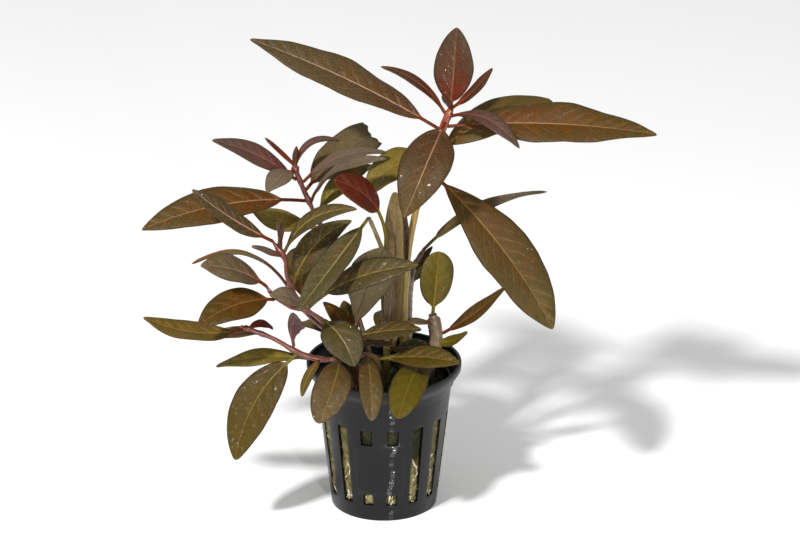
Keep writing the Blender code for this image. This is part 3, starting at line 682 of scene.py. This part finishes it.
def moss_material():
    """Living moss and algae on the wool: soft, damp, dark green."""
    material, add, space = start_material("living_moss")
    cloud = add(NOISE, {"Vector": space, "Scale": 0.7, "Detail": 3.0})
    return end_material(material, add, {
        "Base Color": add(RAMP, (cloud,), stops=((0.3, "#1c2410"), (0.5, "#34401c"), (0.72, "#5a6028"))),
        "Roughness": 0.5,
        "Normal": add(BUMP, {"Height": cloud, "Strength": 0.5, "Distance": 0.3 * MM}),
        "Coat Weight": 0.2,
        "Coat Roughness": 0.25,
    })


def root_material():
    """Living roots: whitish, smooth, brown where they are old."""
    material, add, space = start_material("living_roots")
    cloud = add(NOISE, {"Vector": space, "Scale": 0.3, "Detail": 3.0})
    return end_material(material, add, {
        "Base Color": add(RAMP, (cloud,), stops=((0.35, "#8a7c58"), (0.55, "#c4bca4"), (0.75, "#7c6440"))),
        "Roughness": 0.4,
        "Subsurface Weight": 0.15,
        "Subsurface Scale": 0.5 * MM,
        "Coat Weight": 0.2,
    })


def floor_material():
    """Matt white studio paper, faintly mottled."""
    material, add, space = start_material("studio_paper")
    cloud = add(NOISE, {"Vector": space, "Scale": 0.003, "Detail": 2.0})
    color = add(MIX, {0: cloud, 6: linear("#fbfbfb"), 7: linear("#f7f7f6")}, **COLORS)
    return end_material(material, add, {"Base Color": color, "Roughness": 0.9})


def heading(vectors):
    """The direction of a vector, or of each row of vectors."""
    return vectors / np.linalg.norm(vectors, axis=-1, keepdims=True)


def rise(low, high, value):
    """A smooth step from 0 at one value to 1 at another."""
    share = np.clip((value - low) / (high - low), 0.0, 1.0)
    return share * share * (3 - 2 * share)


def rings_joined(rings, sides):
    """The faces between rings of points that follow one another."""
    corners = [(i * sides, j, (j + 1) % sides) for i in range(rings - 1) for j in range(sides)]
    return [(start + j, start + k, start + sides + k, start + sides + j) for start, j, k in corners]


def store(mesh, **given):
    """Give each point of a mesh a number or a vector under each name."""
    for name, values in given.items():
        values = np.asarray(values, dtype=np.float32)
        kind, key = ("FLOAT_VECTOR", "vector") if values.ndim > 1 else ("FLOAT", "value")
        mesh.attributes.new(name, kind, "POINT").data.foreach_set(key, values.reshape(-1))


def add_object(name, mesh, *materials):
    """Put a finished mesh in the scene."""
    for material in materials:
        mesh.materials.append(material)
    made = bpy.data.objects.new(name, mesh)
    bpy.context.scene.collection.objects.link(made)
    return made


def mesh_from(name, points, faces, merge=0.0):
    """A smooth mesh from points in millimetres, with its faces turned outward.

    Points closer together than merge become one.
    """
    mesh = bpy.data.meshes.new(name)
    mesh.from_pydata([tuple(p * MM) for p in points], [], faces)
    shape = bmesh.new()
    shape.from_mesh(mesh)
    if merge:
        bmesh.ops.remove_doubles(shape, verts=shape.verts, dist=merge * MM)
    bmesh.ops.recalc_face_normals(shape, faces=shape.faces)
    shape.to_mesh(mesh)
    shape.free()
    mesh.shade_smooth()
    return mesh


def smooth_route(stem):
    """A fine line of evenly spaced points on the smooth curve of a stem, and its length."""
    given = [np.array(p, float) for p in ((*stem.root, ROOT), (*stem.root, UPRIGHT), *stem.route)]
    given = [2 * given[0] - given[1], *given, 2 * given[-1] - given[-2]]
    spans = len(given) - 3
    rough = []
    for i in range(STEM_SAMPLES + 1):
        span = min(int(i * spans / STEM_SAMPLES), spans - 1)
        t = i * spans / STEM_SAMPLES - span
        a, b, c, d = given[span:span + 4]
        bend = (-a + c) * t + (2 * a - 5 * b + 4 * c - d) * t**2 + (3 * b - a - 3 * c + d) * t**3
        rough.append(b + bend / 2)
    rough = np.array(rough)
    reach = np.concatenate(([0.0], np.cumsum(np.linalg.norm(np.diff(rough, axis=0), axis=1))))
    goals = np.linspace(0, reach[-1], STEM_SAMPLES + 1)
    return np.stack([np.interp(goals, reach, rough[:, k]) for k in range(3)], axis=1), reach[-1]


def stem_radius(stem, share):
    """A stem's radius at a share of its length."""
    return stem.foot + (stem.top - stem.foot) * share


def side_and_lift(reach):
    """The directions across a leaf that lies level, and up from it."""
    side = heading(np.cross(UP, reach))
    return side, heading(np.cross(reach, side))


def leaf_start(leaf, stem, rooted):
    """A leaf's place on the stem's axis, and the foot of its stalk."""
    line, _ = smooth_route(stem)
    place = round(leaf.at * STEM_SAMPLES)
    axis = line[place]
    if rooted:
        return axis, axis
    along = heading(line[min(place + 1, STEM_SAMPLES)] - line[max(place - 1, 0)])
    reach = np.array(leaf.tip, float) - axis
    side, lift = side_and_lift(reach)
    out = heading(reach + 4 * (side * leaf.sway + lift * leaf.arch))
    if leaf.at < 1.0:
        out = out - along * out.dot(along)
    return axis, axis + heading(out) * (stem_radius(stem, leaf.at) + LEAF_THICKNESS / 2 + AIR)


def blade_width(leaf, share):
    """A leaf's width at shares of its length: a bare stalk, then the blade's outline."""
    along = np.clip(leaf.kept * (share - leaf.stalk) / (1 - leaf.stalk), 0.0, 1.0)
    swell = np.sin(pi * along ** (np.log(0.5) / np.log(leaf.widest)))
    swell = np.clip(swell, 0.0, 1.0) ** leaf.full
    least = np.where(along > leaf.widest, TIP_WIDTH, STALK_WIDTH)
    return np.where(share <= leaf.stalk, STALK_WIDTH, least + (leaf.width - least) * swell)


def leaf_mesh(leaf, stem, rooted, chance):
    """A leaf's blade, midrib and stalk as one closed skin, with what its material reads."""
    axis, foot = leaf_start(leaf, stem, rooted)
    reach = np.array(leaf.tip, float) - foot
    side, lift = side_and_lift(reach)
    reach = reach * leaf.kept
    length = np.linalg.norm(reach)
    rings = max(FEWEST_RINGS, round(length / LEAF_RING))
    share = 1 - (1 - np.linspace(0, 1, rings + 1)[:, None]) ** 1.25
    top_row = np.concatenate((-HALF[:0:-1], HALF))
    last = len(top_row) - 1
    v = np.concatenate((top_row, top_row[-2:0:-1]))
    flat = np.abs(v)
    right = v > 0
    under = np.concatenate((np.zeros(last + 1), np.ones(last - 1)))
    under[[0, last]] = 0.5

    # The middle line and the frame that turns along it
    middle = foot + share * reach + 4 * share * (1 - share) * (lift * leaf.arch + side * leaf.sway)
    ahead = heading(reach + 4 * (1 - 2 * share) * lift * leaf.arch)
    top = heading(np.cross(ahead, side))
    turn = np.radians(leaf.roll + leaf.twist * share)
    turn += np.radians(4.0) * np.sin(2 * pi * (share * 1.3 + chance.random())) * rise(0.1, 0.5, share)
    across = side * np.cos(turn) + top * np.sin(turn)
    face = top * np.cos(turn) - side * np.sin(turn)

    # The outline, a little uneven on either side
    width = blade_width(leaf, share)
    blade = rise(1.2 * STALK_WIDTH, 3.5 * STALK_WIDTH, width)
    run = share * length
    shifts = chance.random(8)
    uneven = 1.0
    for sign, a, b in ((-1, shifts[0], shifts[1]), (1, shifts[2], shifts[3])):
        wobble = 0.02 * np.sin(2 * pi * (run / 23 + a)) + 0.006 * np.sin(2 * pi * (run / 7.3 + b))
        uneven = np.where(np.sign(v) == sign, 1 + wobble * blade, uneven)
    half = width / 2
    y = v * half * uneven
    size = width / 16.0

    # Side veins leave the midrib forward and bend towards the tip
    gap = VEIN_GAP * min(1.0, 0.35 + leaf.width / 24)
    lean = VEIN_LEAN * np.abs(y) + VEIN_BEND * size * flat**2
    phase = (run - lean) / gap + np.where(right, shifts[4], shifts[5] * 0.2)
    crease = (0.5 + 0.5 * np.cos(2 * pi * phase)) ** 3
    hold = np.minimum(1.0, flat / 0.25) * rise(1.0, 0.45, flat) * blade
    raised = VEIN_RELIEF * (0.35 - crease) * hold * min(1.0, leaf.width / 12)

    # The blade's fold, crown, waves and the roll of its margins
    fold = radians(leaf.fold)
    gutter = np.sqrt(flat**2 + 0.012) - sqrt(0.012)
    raised += gutter * half * sin(fold) + CROWN * flat * (1 - flat) * half * blade
    wave = WAVE * np.sin(2 * pi * (run / WAVE_LENGTH + np.where(right, shifts[6], shifts[7])))
    raised += (wave * flat**2 - MARGIN_ROLL * flat**6) * blade * np.minimum(1.0, size)

    # Thickness: a thin blade, a midrib that stands out below, a round stalk
    lens = np.sqrt(np.clip(1 - v**2, 0, 1))
    plump = np.minimum(STALK_WIDTH, width) * 0.42 * (1 - blade)
    thick = ((BLADE_THICKNESS / 2) * np.sqrt(lens) * blade + plump * lens) * np.minimum(1.0, half / 0.3)
    spine = RIB_DEPTH * (1 - 0.85 * share) * np.exp(-(y / (0.75 * RIB_WIDTH)) ** 2) * blade
    groove = RIB_GROOVE * np.exp(-(y / (0.6 * RIB_WIDTH)) ** 2) * blade * (1 - share)
    raised += np.where(under == 1, -thick - spine * (1 - np.exp(-8 * (1 - share))), thick - groove)

    points = middle[:, None] + across[:, None] * (y * cos(fold))[:, :, None]
    points += face[:, None] * raised[:, :, None]
    if leaf.kept < 1.0:
        torn = 0.9 * np.sin(2.6 * v + 6 * shifts[0]) + 0.35 * np.sin(11 * v + 6 * shifts[1])
        points += ahead[:, None] * (torn * rise(0.75, 1.0, share))[:, :, None]
    known = (run, y, flat, share, phase, under, np.where(share < 0.5, blade, 1.0))
    known = np.stack([value + 0 * y for value in known], axis=2)

    # The stalk's first rings lead out of the stem
    if not rooted:
        lead = [points[0] - foot + axis + (foot - axis) * back for back in (0.15, 0.45, 0.75)]
        points = np.concatenate((lead, points))
        known = np.concatenate((known[[0, 0, 0]], known))

    count, ring = points.shape[:2]
    faces = rings_joined(count, ring)
    for start in (0, (count - 1) * ring):
        faces.append((start, start + 1, start + ring - 1))
        for j in range(1, last - 1):
            faces.append((start + j, start + j + 1, start + ring - j - 1, start + ring - j))
        faces.append((start + last - 1, start + last, start + last + 1))
    mesh = mesh_from(leaf.name, points.reshape(-1, 3), faces)
    known = known.reshape(-1, 7)
    store(mesh, leaf_place=known[:, :3], leaf_growth=known[:, 3:6], leaf_blade=known[:, 6])
    store(mesh, leaf_tone=np.full(len(known), chance.random()))
    return mesh


def new_tree(name, **sizes):
    """A Geometry Nodes tree with named inputs, the function that adds its nodes, and the inputs."""
    tree = bpy.data.node_groups.new(name, "GeometryNodeTree")
    kinds = {"Geometry": "Geometry", **sizes, "Material": "Material"}
    for label, kind in kinds.items():
        tree.interface.new_socket(label, in_out="INPUT", socket_type="NodeSocket" + kind)
    tree.interface.new_socket("Geometry", in_out="OUTPUT", socket_type="NodeSocketGeometry")
    add = partial(add_node, tree)
    return tree, add, add("NodeGroupInput", out=None)


def end_tree(tree, add, given, geometry):
    """End a tree with real geometry that has its material."""
    real = add("GeometryNodeRealizeInstances", (geometry,))
    painted = add("GeometryNodeSetMaterial", {"Geometry": real, "Material": given["Material"]})
    add("NodeGroupOutput", (painted,), out=None)
    return tree


def grown(source, tree, values):
    """The mesh that a tree makes from an object, which is removed."""
    step = source.modifiers.new(tree.name, "NODES")
    step.node_group = tree
    for item in tree.interface.items_tree:
        if item.in_out == "INPUT" and item.name in values:
            step[item.identifier] = values[item.name]
    bpy.context.view_layer.update()
    mesh = bpy.data.meshes.new_from_object(source.evaluated_get(bpy.context.evaluated_depsgraph_get()))
    source.modifiers.remove(step)
    bpy.data.objects.remove(source)
    return mesh


def tube_tree():
    """A tube along a line of points, as thick as each point says, slightly uneven all round."""
    tree, add, given = new_tree("tube_along_line", Sides="Int", Unevenness="Float")
    tube = add("GeometryNodeCurveToMesh", {
        "Curve": add("GeometryNodeMeshToCurve", (given["Geometry"],)),
        "Profile Curve": add(CIRCLE, {"Resolution": given["Sides"], "Radius": 1.0}),
        "Scale": add(NAMED, {"Name": "thickness"}, data_type="FLOAT"),
        "Fill Caps": True,
    })
    push = add(NOISE, {"Scale": 0.7 / MM, "Detail": 2.0})
    push = add(MATH, (push, 0.5), operation="SUBTRACT")
    push = add(MATH, (push, given["Unevenness"]), operation="MULTIPLY")
    push = add(VECTOR_MATH, {0: add("GeometryNodeInputNormal"), "Scale": push}, operation="SCALE")
    rough = add("GeometryNodeSetPosition", {"Geometry": tube, "Offset": push})
    return end_tree(tree, add, given, rough)


def line_object(name, points, thickness, share):
    """Points in millimetres joined in a line, with a thickness and a share at each."""
    mesh = bpy.data.meshes.new(name)
    mesh.from_pydata([tuple(p * MM) for p in points], [(i, i + 1) for i in range(len(points) - 1)], [])
    store(mesh, thickness=thickness * MM, share=share)
    return add_object(name, mesh)


def join(pieces):
    """Join several objects into the first."""
    with bpy.context.temp_override(active_object=pieces[0], object=pieces[0],
                                   selected_objects=pieces, selected_editable_objects=pieces):
        bpy.ops.object.join()
    return pieces[0]


def build_stem(stem, grown_on, leaves, tree, material, looks, chance):
    """A stem with its knots, and the buds and smallest leaves that are one with it."""
    line, length = smooth_route(stem)
    share = np.linspace(0, 1, round(length / STEM_RING) + 1)
    given = np.linspace(0, 1, STEM_SAMPLES + 1)
    points = np.stack([np.interp(share, given, line[:, k]) for k in range(3)], axis=1)
    thick = stem_radius(stem, share)
    for leaf in (*leaves, *grown_on):
        thick = thick + KNOT * np.exp(-((share - leaf.at) * length / KNOT_LENGTH) ** 2)
    thick = thick * np.where(share > 1 - 1.2 / length, 0.6, 1.0)
    source = line_object(stem.name + "_line", points, thick, share)
    torn = SHEATH_TORN if stem.look == "sheath" else STEM_TORN
    mesh = grown(source, tree, {"Sides": STEM_SIDES, "Unevenness": torn * MM, "Material": material})
    mesh.shade_smooth()
    pieces = [add_object(stem.name + "_grown", mesh)]
    for leaf in grown_on:
        pieces.append(add_object(leaf.name, leaf_mesh(leaf, stem, True, chance), looks[leaf.look]))
    return join(pieces)


def wall_radius(z):
    """The outer radius of the pot's tapered wall at a height."""
    return BASE_RADIUS + (WALL_TOP_RADIUS - BASE_RADIUS) * z / COLLAR_FOOT


def from_front(angle, radius, z):
    """A point by its angle in degrees from the front towards +X, its radius and its height."""
    return np.array((radius * sin(radians(angle)), -radius * cos(radians(angle)), z))


def signed(angle):
    """An angle in degrees, as less than half a turn either way."""
    return (angle + 180) % 360 - 180


SLOT_ANGLES = [signed(SLOT_FIRST + 360 * n / SLOT_COUNT) for n in range(SLOT_COUNT)]


def nearest_slot(angle):
    """The number of the slot nearest an angle, and how many degrees away its middle is."""
    away = [abs(signed(angle - middle)) for middle in SLOT_ANGLES]
    number = int(np.argmin(away))
    return number, away[number]


def in_slot(away):
    """How fully a slot is open at so many degrees from its middle, from 0 at its edges to 1."""
    return rise(SLOT_SPAN / 2, SLOT_SPAN / 2 - SLOT_SOFT, away)


def pot_skin():
    """The pot's outer skin as a grid around its axis, open at the slots."""
    angles = {PANEL_LEFT, PANEL_LEFT - PANEL_BEVEL_TURN, PANEL_RIGHT, PANEL_RIGHT + PANEL_BEVEL_TURN}
    bar = 360 / SLOT_COUNT - SLOT_SPAN
    for middle in SLOT_ANGLES:
        for k in range(SLOT_COLUMNS + 1):
            angles.add(round(signed(middle + SLOT_SPAN * (k / SLOT_COLUMNS - 0.5)), 3))
        for k in range(1, BAR_COLUMNS):
            angles.add(round(signed(middle + SLOT_SPAN / 2 + bar * k / BAR_COLUMNS), 3))
    angles = sorted(angles)
    panel_foot = PANEL_FOOT - PANEL_BEVEL
    panel_top = PANEL_TOP + PANEL_BEVEL
    edges = (SLOT_FOOT, panel_foot, PANEL_FOOT, PANEL_TOP, panel_top, SLOT_TOP, COLLAR_FOOT)
    rows = [
        (0.0, BASE_RADIUS),
        *((z, wall_radius(z)) for z in sorted(WALL_ROWS + edges)),
        (COLLAR_FOOT + 0.02, COLLAR_RADIUS),
        (COLLAR_FOOT + COLLAR_HEIGHT, COLLAR_RADIUS),
        (COLLAR_FOOT + COLLAR_HEIGHT + 2, COLLAR_RADIUS + 1.35),
        (POT_HEIGHT - RIM_HEIGHT, RIM_RADIUS),
        (POT_HEIGHT, RIM_RADIUS),
    ]
    points = []
    for z, radius in rows:
        for angle in angles:
            raised = PANEL_FOOT <= z <= PANEL_TOP and PANEL_LEFT <= angle <= PANEL_RIGHT
            points.append(from_front(angle, radius + (PANEL_RELIEF if raised else 0.0), z))
    count = len(angles)
    faces = []
    for face in rings_joined(len(rows), count):
        row, column = divmod(face[0], count)
        level = (rows[row][0] + rows[row + 1][0]) / 2
        number, away = nearest_slot(angles[column] + (angles[face[1] % count] - angles[column]) % 360 / 2)
        bridged = number in BRIDGED_SLOTS and panel_foot < level < panel_top
        if away > SLOT_SPAN / 2 or bridged or not SLOT_FOOT < level < SLOT_TOP:
            faces.append(face)

    # Floor: rings in to the middle
    before = 0
    for radius in FLOOR_RINGS:
        start = len(points)
        points += [from_front(angle, radius, 0.0) for angle in angles]
        for j in range(count):
            k = (j + 1) % count
            faces.append((before + k, before + j, start + j, start + k))
        before = start
    faces += [(start + (j + 1) % count, start + j, len(points)) for j in range(count)]
    points.append(np.zeros(3))
    return mesh_from("pot_shell", points, faces)


def build_pot(material):
    """The pot: its skin is given its thickness inward, its drain holes and its soft edges."""
    pot = add_object("pot_finished", pot_skin(), material)
    posts = bmesh.new()
    for number in range(DRAIN_COUNT):
        angle = 2 * pi * number / DRAIN_COUNT
        made = bmesh.ops.create_cone(posts, cap_ends=True, segments=DRAIN_SIDES, radius1=DRAIN_RADIUS * MM,
                                     radius2=DRAIN_RADIUS * MM, depth=4 * FLOOR * MM)
        middle = Vector((DRAIN_CIRCLE * cos(angle), DRAIN_CIRCLE * sin(angle), FLOOR / 2)) * MM
        bmesh.ops.translate(posts, verts=made["verts"], vec=middle)
    mesh = bpy.data.meshes.new("drains")
    posts.to_mesh(mesh)
    posts.free()
    cutter = add_object("drains", mesh, material)
    steps = (
        ("SOLIDIFY", {"thickness": WALL * MM, "offset": -1, "use_even_offset": True}),
        ("BOOLEAN", {"operation": "DIFFERENCE", "object": cutter}),
        ("BEVEL", {
            "width": EDGE_ROUND * MM,
            "segments": 2,
            "limit_method": "ANGLE",
            "angle_limit": radians(40),
        }),
    )
    for kind, settings in steps:
        step = pot.modifiers.new(kind.lower(), kind)
        for name, value in settings.items():
            setattr(step, name, value)
    bpy.context.view_layer.update()
    pot_mesh = bpy.data.meshes.new_from_object(pot.evaluated_get(bpy.context.evaluated_depsgraph_get()))
    pot.modifiers.clear()
    pot.data = pot_mesh
    bpy.data.objects.remove(cutter)
    pot_mesh.shade_smooth()
    pot_mesh.set_sharp_from_angle(angle=radians(38))
    return pot


def wool_at(angle, z):
    """How much the wool shows at a place, how far it swells into a slot there, and how stained and shaded it
    is, with the shade painted in.
    """
    number, away = nearest_slot(angle)
    shows = away < SLOT_SPAN / 2 and SLOT_FOOT < z < SLOT_TOP
    foot, top = SLOT_FOOT, SLOT_TOP
    stain = 0.1 + 0.5 * noise.noise((number * 3.7, 0, z * 0.05))
    strength = 1.0
    if number in BRIDGED_SLOTS:
        shows = shows and not PANEL_FOOT < z < PANEL_TOP
        foot, top = (SLOT_FOOT, PANEL_FOOT) if z < (PANEL_FOOT + PANEL_TOP) / 2 else (PANEL_TOP, SLOT_TOP)
        # Painted shade darkens its windows above the panel, and those below are left clean
        stain, strength = (0.7, 0.3) if z > PANEL_TOP - 2 else (-0.2, 1.0)
    if number == WORN_SLOT:
        ragged = z + 1.5 * noise.noise((angle * 0.2, z * 0.3, 0))
        worn = float(rise(WORN_HEIGHT - 2, WORN_HEIGHT + 2, ragged))
        # Painted shade darkens the wool where it is washed out and lies back
        stain, strength = 0.9 * worn, 1 - worn
    swell = strength * in_slot(away) * rise(foot, foot + 1.2, z) * rise(top, top - 1.2, z)
    shows = shows or z > WOOL_TOP - 1.2
    # The top of the plug is darkened too, by algae and by painted shade
    return float(shows), float(swell), max(stain, float(rise(38.0, 42.0, z)))


def wool_mesh():
    """The plug's torn surface: a tapered cylinder pushed in and out by noise, swollen into the slots."""
    foot = FLOOR + AIR
    rows = [(foot, share) for share in (0.0, 0.5, 0.8)]
    rows += [(z, 1.0) for z in np.linspace(foot, WOOL_TOP, 64)]
    rows += [(WOOL_TOP, share) for share in (0.97, 0.93, 0.88, 0.8, 0.7, 0.6, 0.5, 0.4, 0.3, 0.2, 0.1, 0.0)]
    points = []
    for z, share in rows:
        wall = wall_radius(z) - WALL - WOOL_GAP
        for j in range(WOOL_SIDES):
            angle = 360 * j / WOOL_SIDES
            point = from_front(angle, wall * share, z)
            push = noise.fractal(Vector(point) * 0.45, 0.8, 2.0, 3) * WOOL_ROUGHNESS
            if share == 1.0 and foot < z < WOOL_TOP:
                swell = WOOL_SWELL * wool_at(angle, z)[1]
                point = from_front(angle, wall + min(push, WOOL_GAP * 0.8) + swell, z)
            elif z == WOOL_TOP:
                point[2] += push * 1.4 * share + 0.1
            points.append(point)
    mesh = mesh_from("rock_wool_plug", points, rings_joined(len(rows), WOOL_SIDES), merge=0.01)
    places = [vertex.co / MM for vertex in mesh.vertices]
    facts = np.array([wool_at(degrees(atan2(x, -y)), z) for x, y, z in places])
    store(mesh, shows=facts[:, 0], stain=facts[:, 2])
    return mesh


def scatter(add, given, where, density, shape, tip, largest, lies):
    """Copies of a shape at random places on a mesh, each turned, tipped and sized at random."""
    seed = {"Seed": given["Seed"]}
    spread = {"Mesh": given["Geometry"], "Selection": where, "Density": density, **seed}
    spread = add("GeometryNodeDistributePointsOnFaces", spread, out=None, distribute_method="RANDOM")
    turn = {0: (-tip, -tip, -3.14), 1: (tip, tip, 3.14), **seed}
    turn = add(RANDOM, turn, data_type="FLOAT_VECTOR")
    if lies:
        turn = {"Rotation": spread["Rotation"], "Rotate By": turn}
        turn = add("FunctionNodeRotateRotation", turn, rotation_space="LOCAL")
    return add("GeometryNodeInstanceOnPoints", {
        "Points": spread["Points"],
        "Instance": shape,
        "Rotation": turn,
        "Scale": add(RANDOM, {2: 0.5, 3: largest, **seed}, out=1, data_type="FLOAT"),
    })


def fibre_tree():
    """Short bent fibres that lie on the wool where it shows."""
    sizes = {"Density": "Float", "Length": "Float", "Radius": "Float", "Seed": "Int"}
    tree, add, given = new_tree("rock_wool_fibres", **sizes)
    shows = add(NAMED, {"Name": "shows"}, data_type="FLOAT")
    density = add(MATH, (shows, given["Density"]), operation="MULTIPLY")

    # One fibre: a shallow arc with a three-sided section
    parts = (0.5, -0.5, FIBRE_BEND)
    half, back, bend = [add(MATH, (given["Length"], part), operation="MULTIPLY") for part in parts]
    arc = add("GeometryNodeCurveQuadraticBezier", {
        "Resolution": 4,
        "Start": add(COMBINE, (back,)),
        "Middle": add(COMBINE, {1: bend, 2: given["Radius"]}),
        "End": add(COMBINE, (half,)),
    })
    section = add(CIRCLE, {"Resolution": 3, "Radius": given["Radius"]})
    fibre = add("GeometryNodeCurveToMesh", {"Curve": arc, "Profile Curve": section, "Fill Caps": True})
    placed = scatter(add, given, True, density, fibre, 0.12, 1.25, True)
    return end_tree(tree, add, given, placed)


def moss_tree():
    """Tufts of tiny pointed leaves that stand on the wool's top."""
    sizes = {"Density": "Float", "Height": "Float", "Width": "Float", "Lowest": "Float", "Seed": "Int"}
    tree, add, given = new_tree("moss_tufts", **sizes)
    level = add(SPLIT, (add("GeometryNodeInputPosition"),), out=2)
    high = add("FunctionNodeCompare", (level, given["Lowest"]), operation="GREATER_THAN")
    patch = add(NOISE, {"Scale": 0.16 / MM, "Detail": 2.0})
    patch = add(RANGE, (patch, 0.42, 0.55))
    density = add(MATH, (patch, given["Density"]), operation="MULTIPLY")
    blade = add("GeometryNodeMeshCone", {
        "Vertices": 4,
        "Side Segments": 1,
        "Fill Segments": 1,
        "Radius Top": 0.0,
        "Radius Bottom": given["Width"],
        "Depth": given["Height"],
    })
    placed = scatter(add, given, high, density, blade, 0.9, 1.3, False)
    return end_tree(tree, add, given, placed)


def build_roots(tree, material, chance):
    """Pale roots that have grown along the wool, most of them gathered at the feet of the slots."""
    pieces = []
    for number in range(ROOT_COUNT):
        slot = SLOT_ANGLES[number % SLOT_COUNT]
        angle = slot + chance.uniform(-4, 4)
        short = number < 3 * SLOT_COUNT
        z = chance.uniform(8, 11) if short else chance.uniform(14, 30)
        lean = chance.uniform(-2, 2)
        points = []
        for step in range(SHORT_ROOT if short else LONG_ROOT):
            radius = wall_radius(z) - WALL - WOOL_GAP + WOOL_SWELL * in_slot(abs(angle - slot))
            radius += ROOT_WAVE * sin(step * 1.1 + number)
            points.append(from_front(angle, radius, z))
            lean = 0.8 * lean + chance.uniform(-1.1, 1.1)
            angle = min(max(angle + lean, slot - ROOT_STRAY), slot + ROOT_STRAY)
            z = max(SLOT_FOOT + 0.3, z - chance.uniform(0.2, 0.8))
        share = np.linspace(0, 1, len(points))
        thick = (0.2 + 0.22 * chance.random()) * (1 - 0.6 * share)
        source = line_object(f"root_{number}_line", points, thick, share)
        mesh = grown(source, tree, {"Sides": ROOT_SIDES, "Unevenness": ROOT_TORN * MM, "Material": material})
        mesh.shade_smooth()
        pieces.append(add_object(f"root_{number}", mesh))
    return join(pieces)


def stand(name, data, place, target):
    """Put a lamp or a camera at a place, facing a target, both in millimetres."""
    made = bpy.data.objects.new(name, data)
    made.location = place * MM
    made.rotation_euler = (target - place).to_track_quat("-Z", "Y").to_euler()
    bpy.context.scene.collection.objects.link(made)
    return made


def build_studio():
    """Pale floor, soft rectangular lamps, and the camera. Each lamp faces a target."""
    mesh = bpy.data.meshes.new("studio_floor")
    paper = bmesh.new()
    bmesh.ops.create_grid(paper, x_segments=2, y_segments=2, size=6.0)
    paper.to_mesh(mesh)
    paper.free()
    add_object("studio_floor", mesh, floor_material())

    world = bpy.data.worlds.new("studio")
    bpy.context.scene.world = world
    world.use_nodes = True
    world.node_tree.nodes.clear()
    sky = add_node(world.node_tree, "ShaderNodeBackground", {"Color": (1, 1, 1, 1), "Strength": 0.5})
    add_node(world.node_tree, "ShaderNodeOutputWorld", (sky,), out=None)
    lamps = (
        ("key", (-520, -800, 1150), VIEW_TARGET, (120, 120), 22.0),
        ("fill", (700, -700, 500), VIEW_TARGET, (500, 500), 0.7),
        ("strip", (230, -800, 170), (0, 0, 30), (18, 320), 3.5),
    )
    for name, place, target, size, watts in lamps:
        data = bpy.data.lights.new(name, "AREA")
        data.shape = "RECTANGLE"
        data.size, data.size_y = [side * MM for side in size]
        data.energy = watts
        stand(name, data, Vector(place), Vector(target))

    data = bpy.data.cameras.new("camera")
    data.lens = VIEW_LENS
    data.sensor_width = SENSOR_WIDTH
    data.clip_start = 0.05
    data.clip_end = 50.0
    back = Vector((0, -cos(radians(VIEW_ELEVATION)), sin(radians(VIEW_ELEVATION))))
    target = Vector(VIEW_TARGET)
    bpy.context.scene.camera = stand("camera", data, target + back * VIEW_DISTANCE, target)
    bpy.context.scene.view_settings.view_transform = "Standard"


def settle(piece, name, node=None):
    """Name a finished piece, let it ride, and hide the solid that it stands for."""
    piece.name = name
    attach(piece, "root")
    if node:
        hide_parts(node)


def main():
    build_studio()
    looks = {name: leaf_material(name, look) for name, look in LOOKS.items()}
    skins = {name: stem_material(name, shoot) for name, shoot in SHOOTS.items()}
    stems = {stem.name: stem for stem in STEMS}
    tube = tube_tree()

    for number, leaf in enumerate(LEAVES):
        chance = np.random.default_rng(LEAF_SEED + number)
        mesh = leaf_mesh(leaf, stems[leaf.stem], False, chance)
        piece = add_object(leaf.name + "_finished", mesh, looks[leaf.look])
        settle(piece, leaf.name + "_finished", leaf.name)
    for number, stem in enumerate(STEMS):
        chance = np.random.default_rng(STEM_SEED + number)
        small, large = [[leaf for leaf in row if leaf.stem == stem.name] for row in (SMALL_LEAVES, LEAVES)]
        piece = build_stem(stem, small, large, tube, skins[stem.look], looks, chance)
        settle(piece, stem.name + "_finished", stem.name)

    settle(build_pot(plastic_material()), "pot_finished", "pot")
    wool = wool_material("rock_wool", *WOOL_COLORS)
    plug = add_object("rock_wool_finished", wool_mesh(), wool)
    settle(plug, "rock_wool_finished", "rock_wool")
    fibres = grown(add_object("fibre_bed", plug.data.copy()), fibre_tree(), {
        "Density": FIBRE_DENSITY / MM**2,
        "Length": FIBRE_LENGTH * MM,
        "Radius": FIBRE_RADIUS * MM,
        "Seed": FIBRE_SEED,
        "Material": wool_material("rock_wool_strands", *STRAND_COLORS),
    })
    fibres.shade_smooth()
    settle(add_object("wool_fibres", fibres), "wool_fibres")
    moss = grown(add_object("moss_bed", plug.data.copy()), moss_tree(), {
        "Density": MOSS_DENSITY / MM**2,
        "Height": MOSS_HEIGHT * MM,
        "Width": MOSS_WIDTH * MM,
        "Lowest": (WOOL_TOP - 1.0) * MM,
        "Seed": MOSS_SEED,
        "Material": moss_material(),
    })
    settle(add_object("moss", moss), "moss")
    settle(build_roots(tube, root_material(), np.random.default_rng(ROOT_SEED)), "roots")


main()
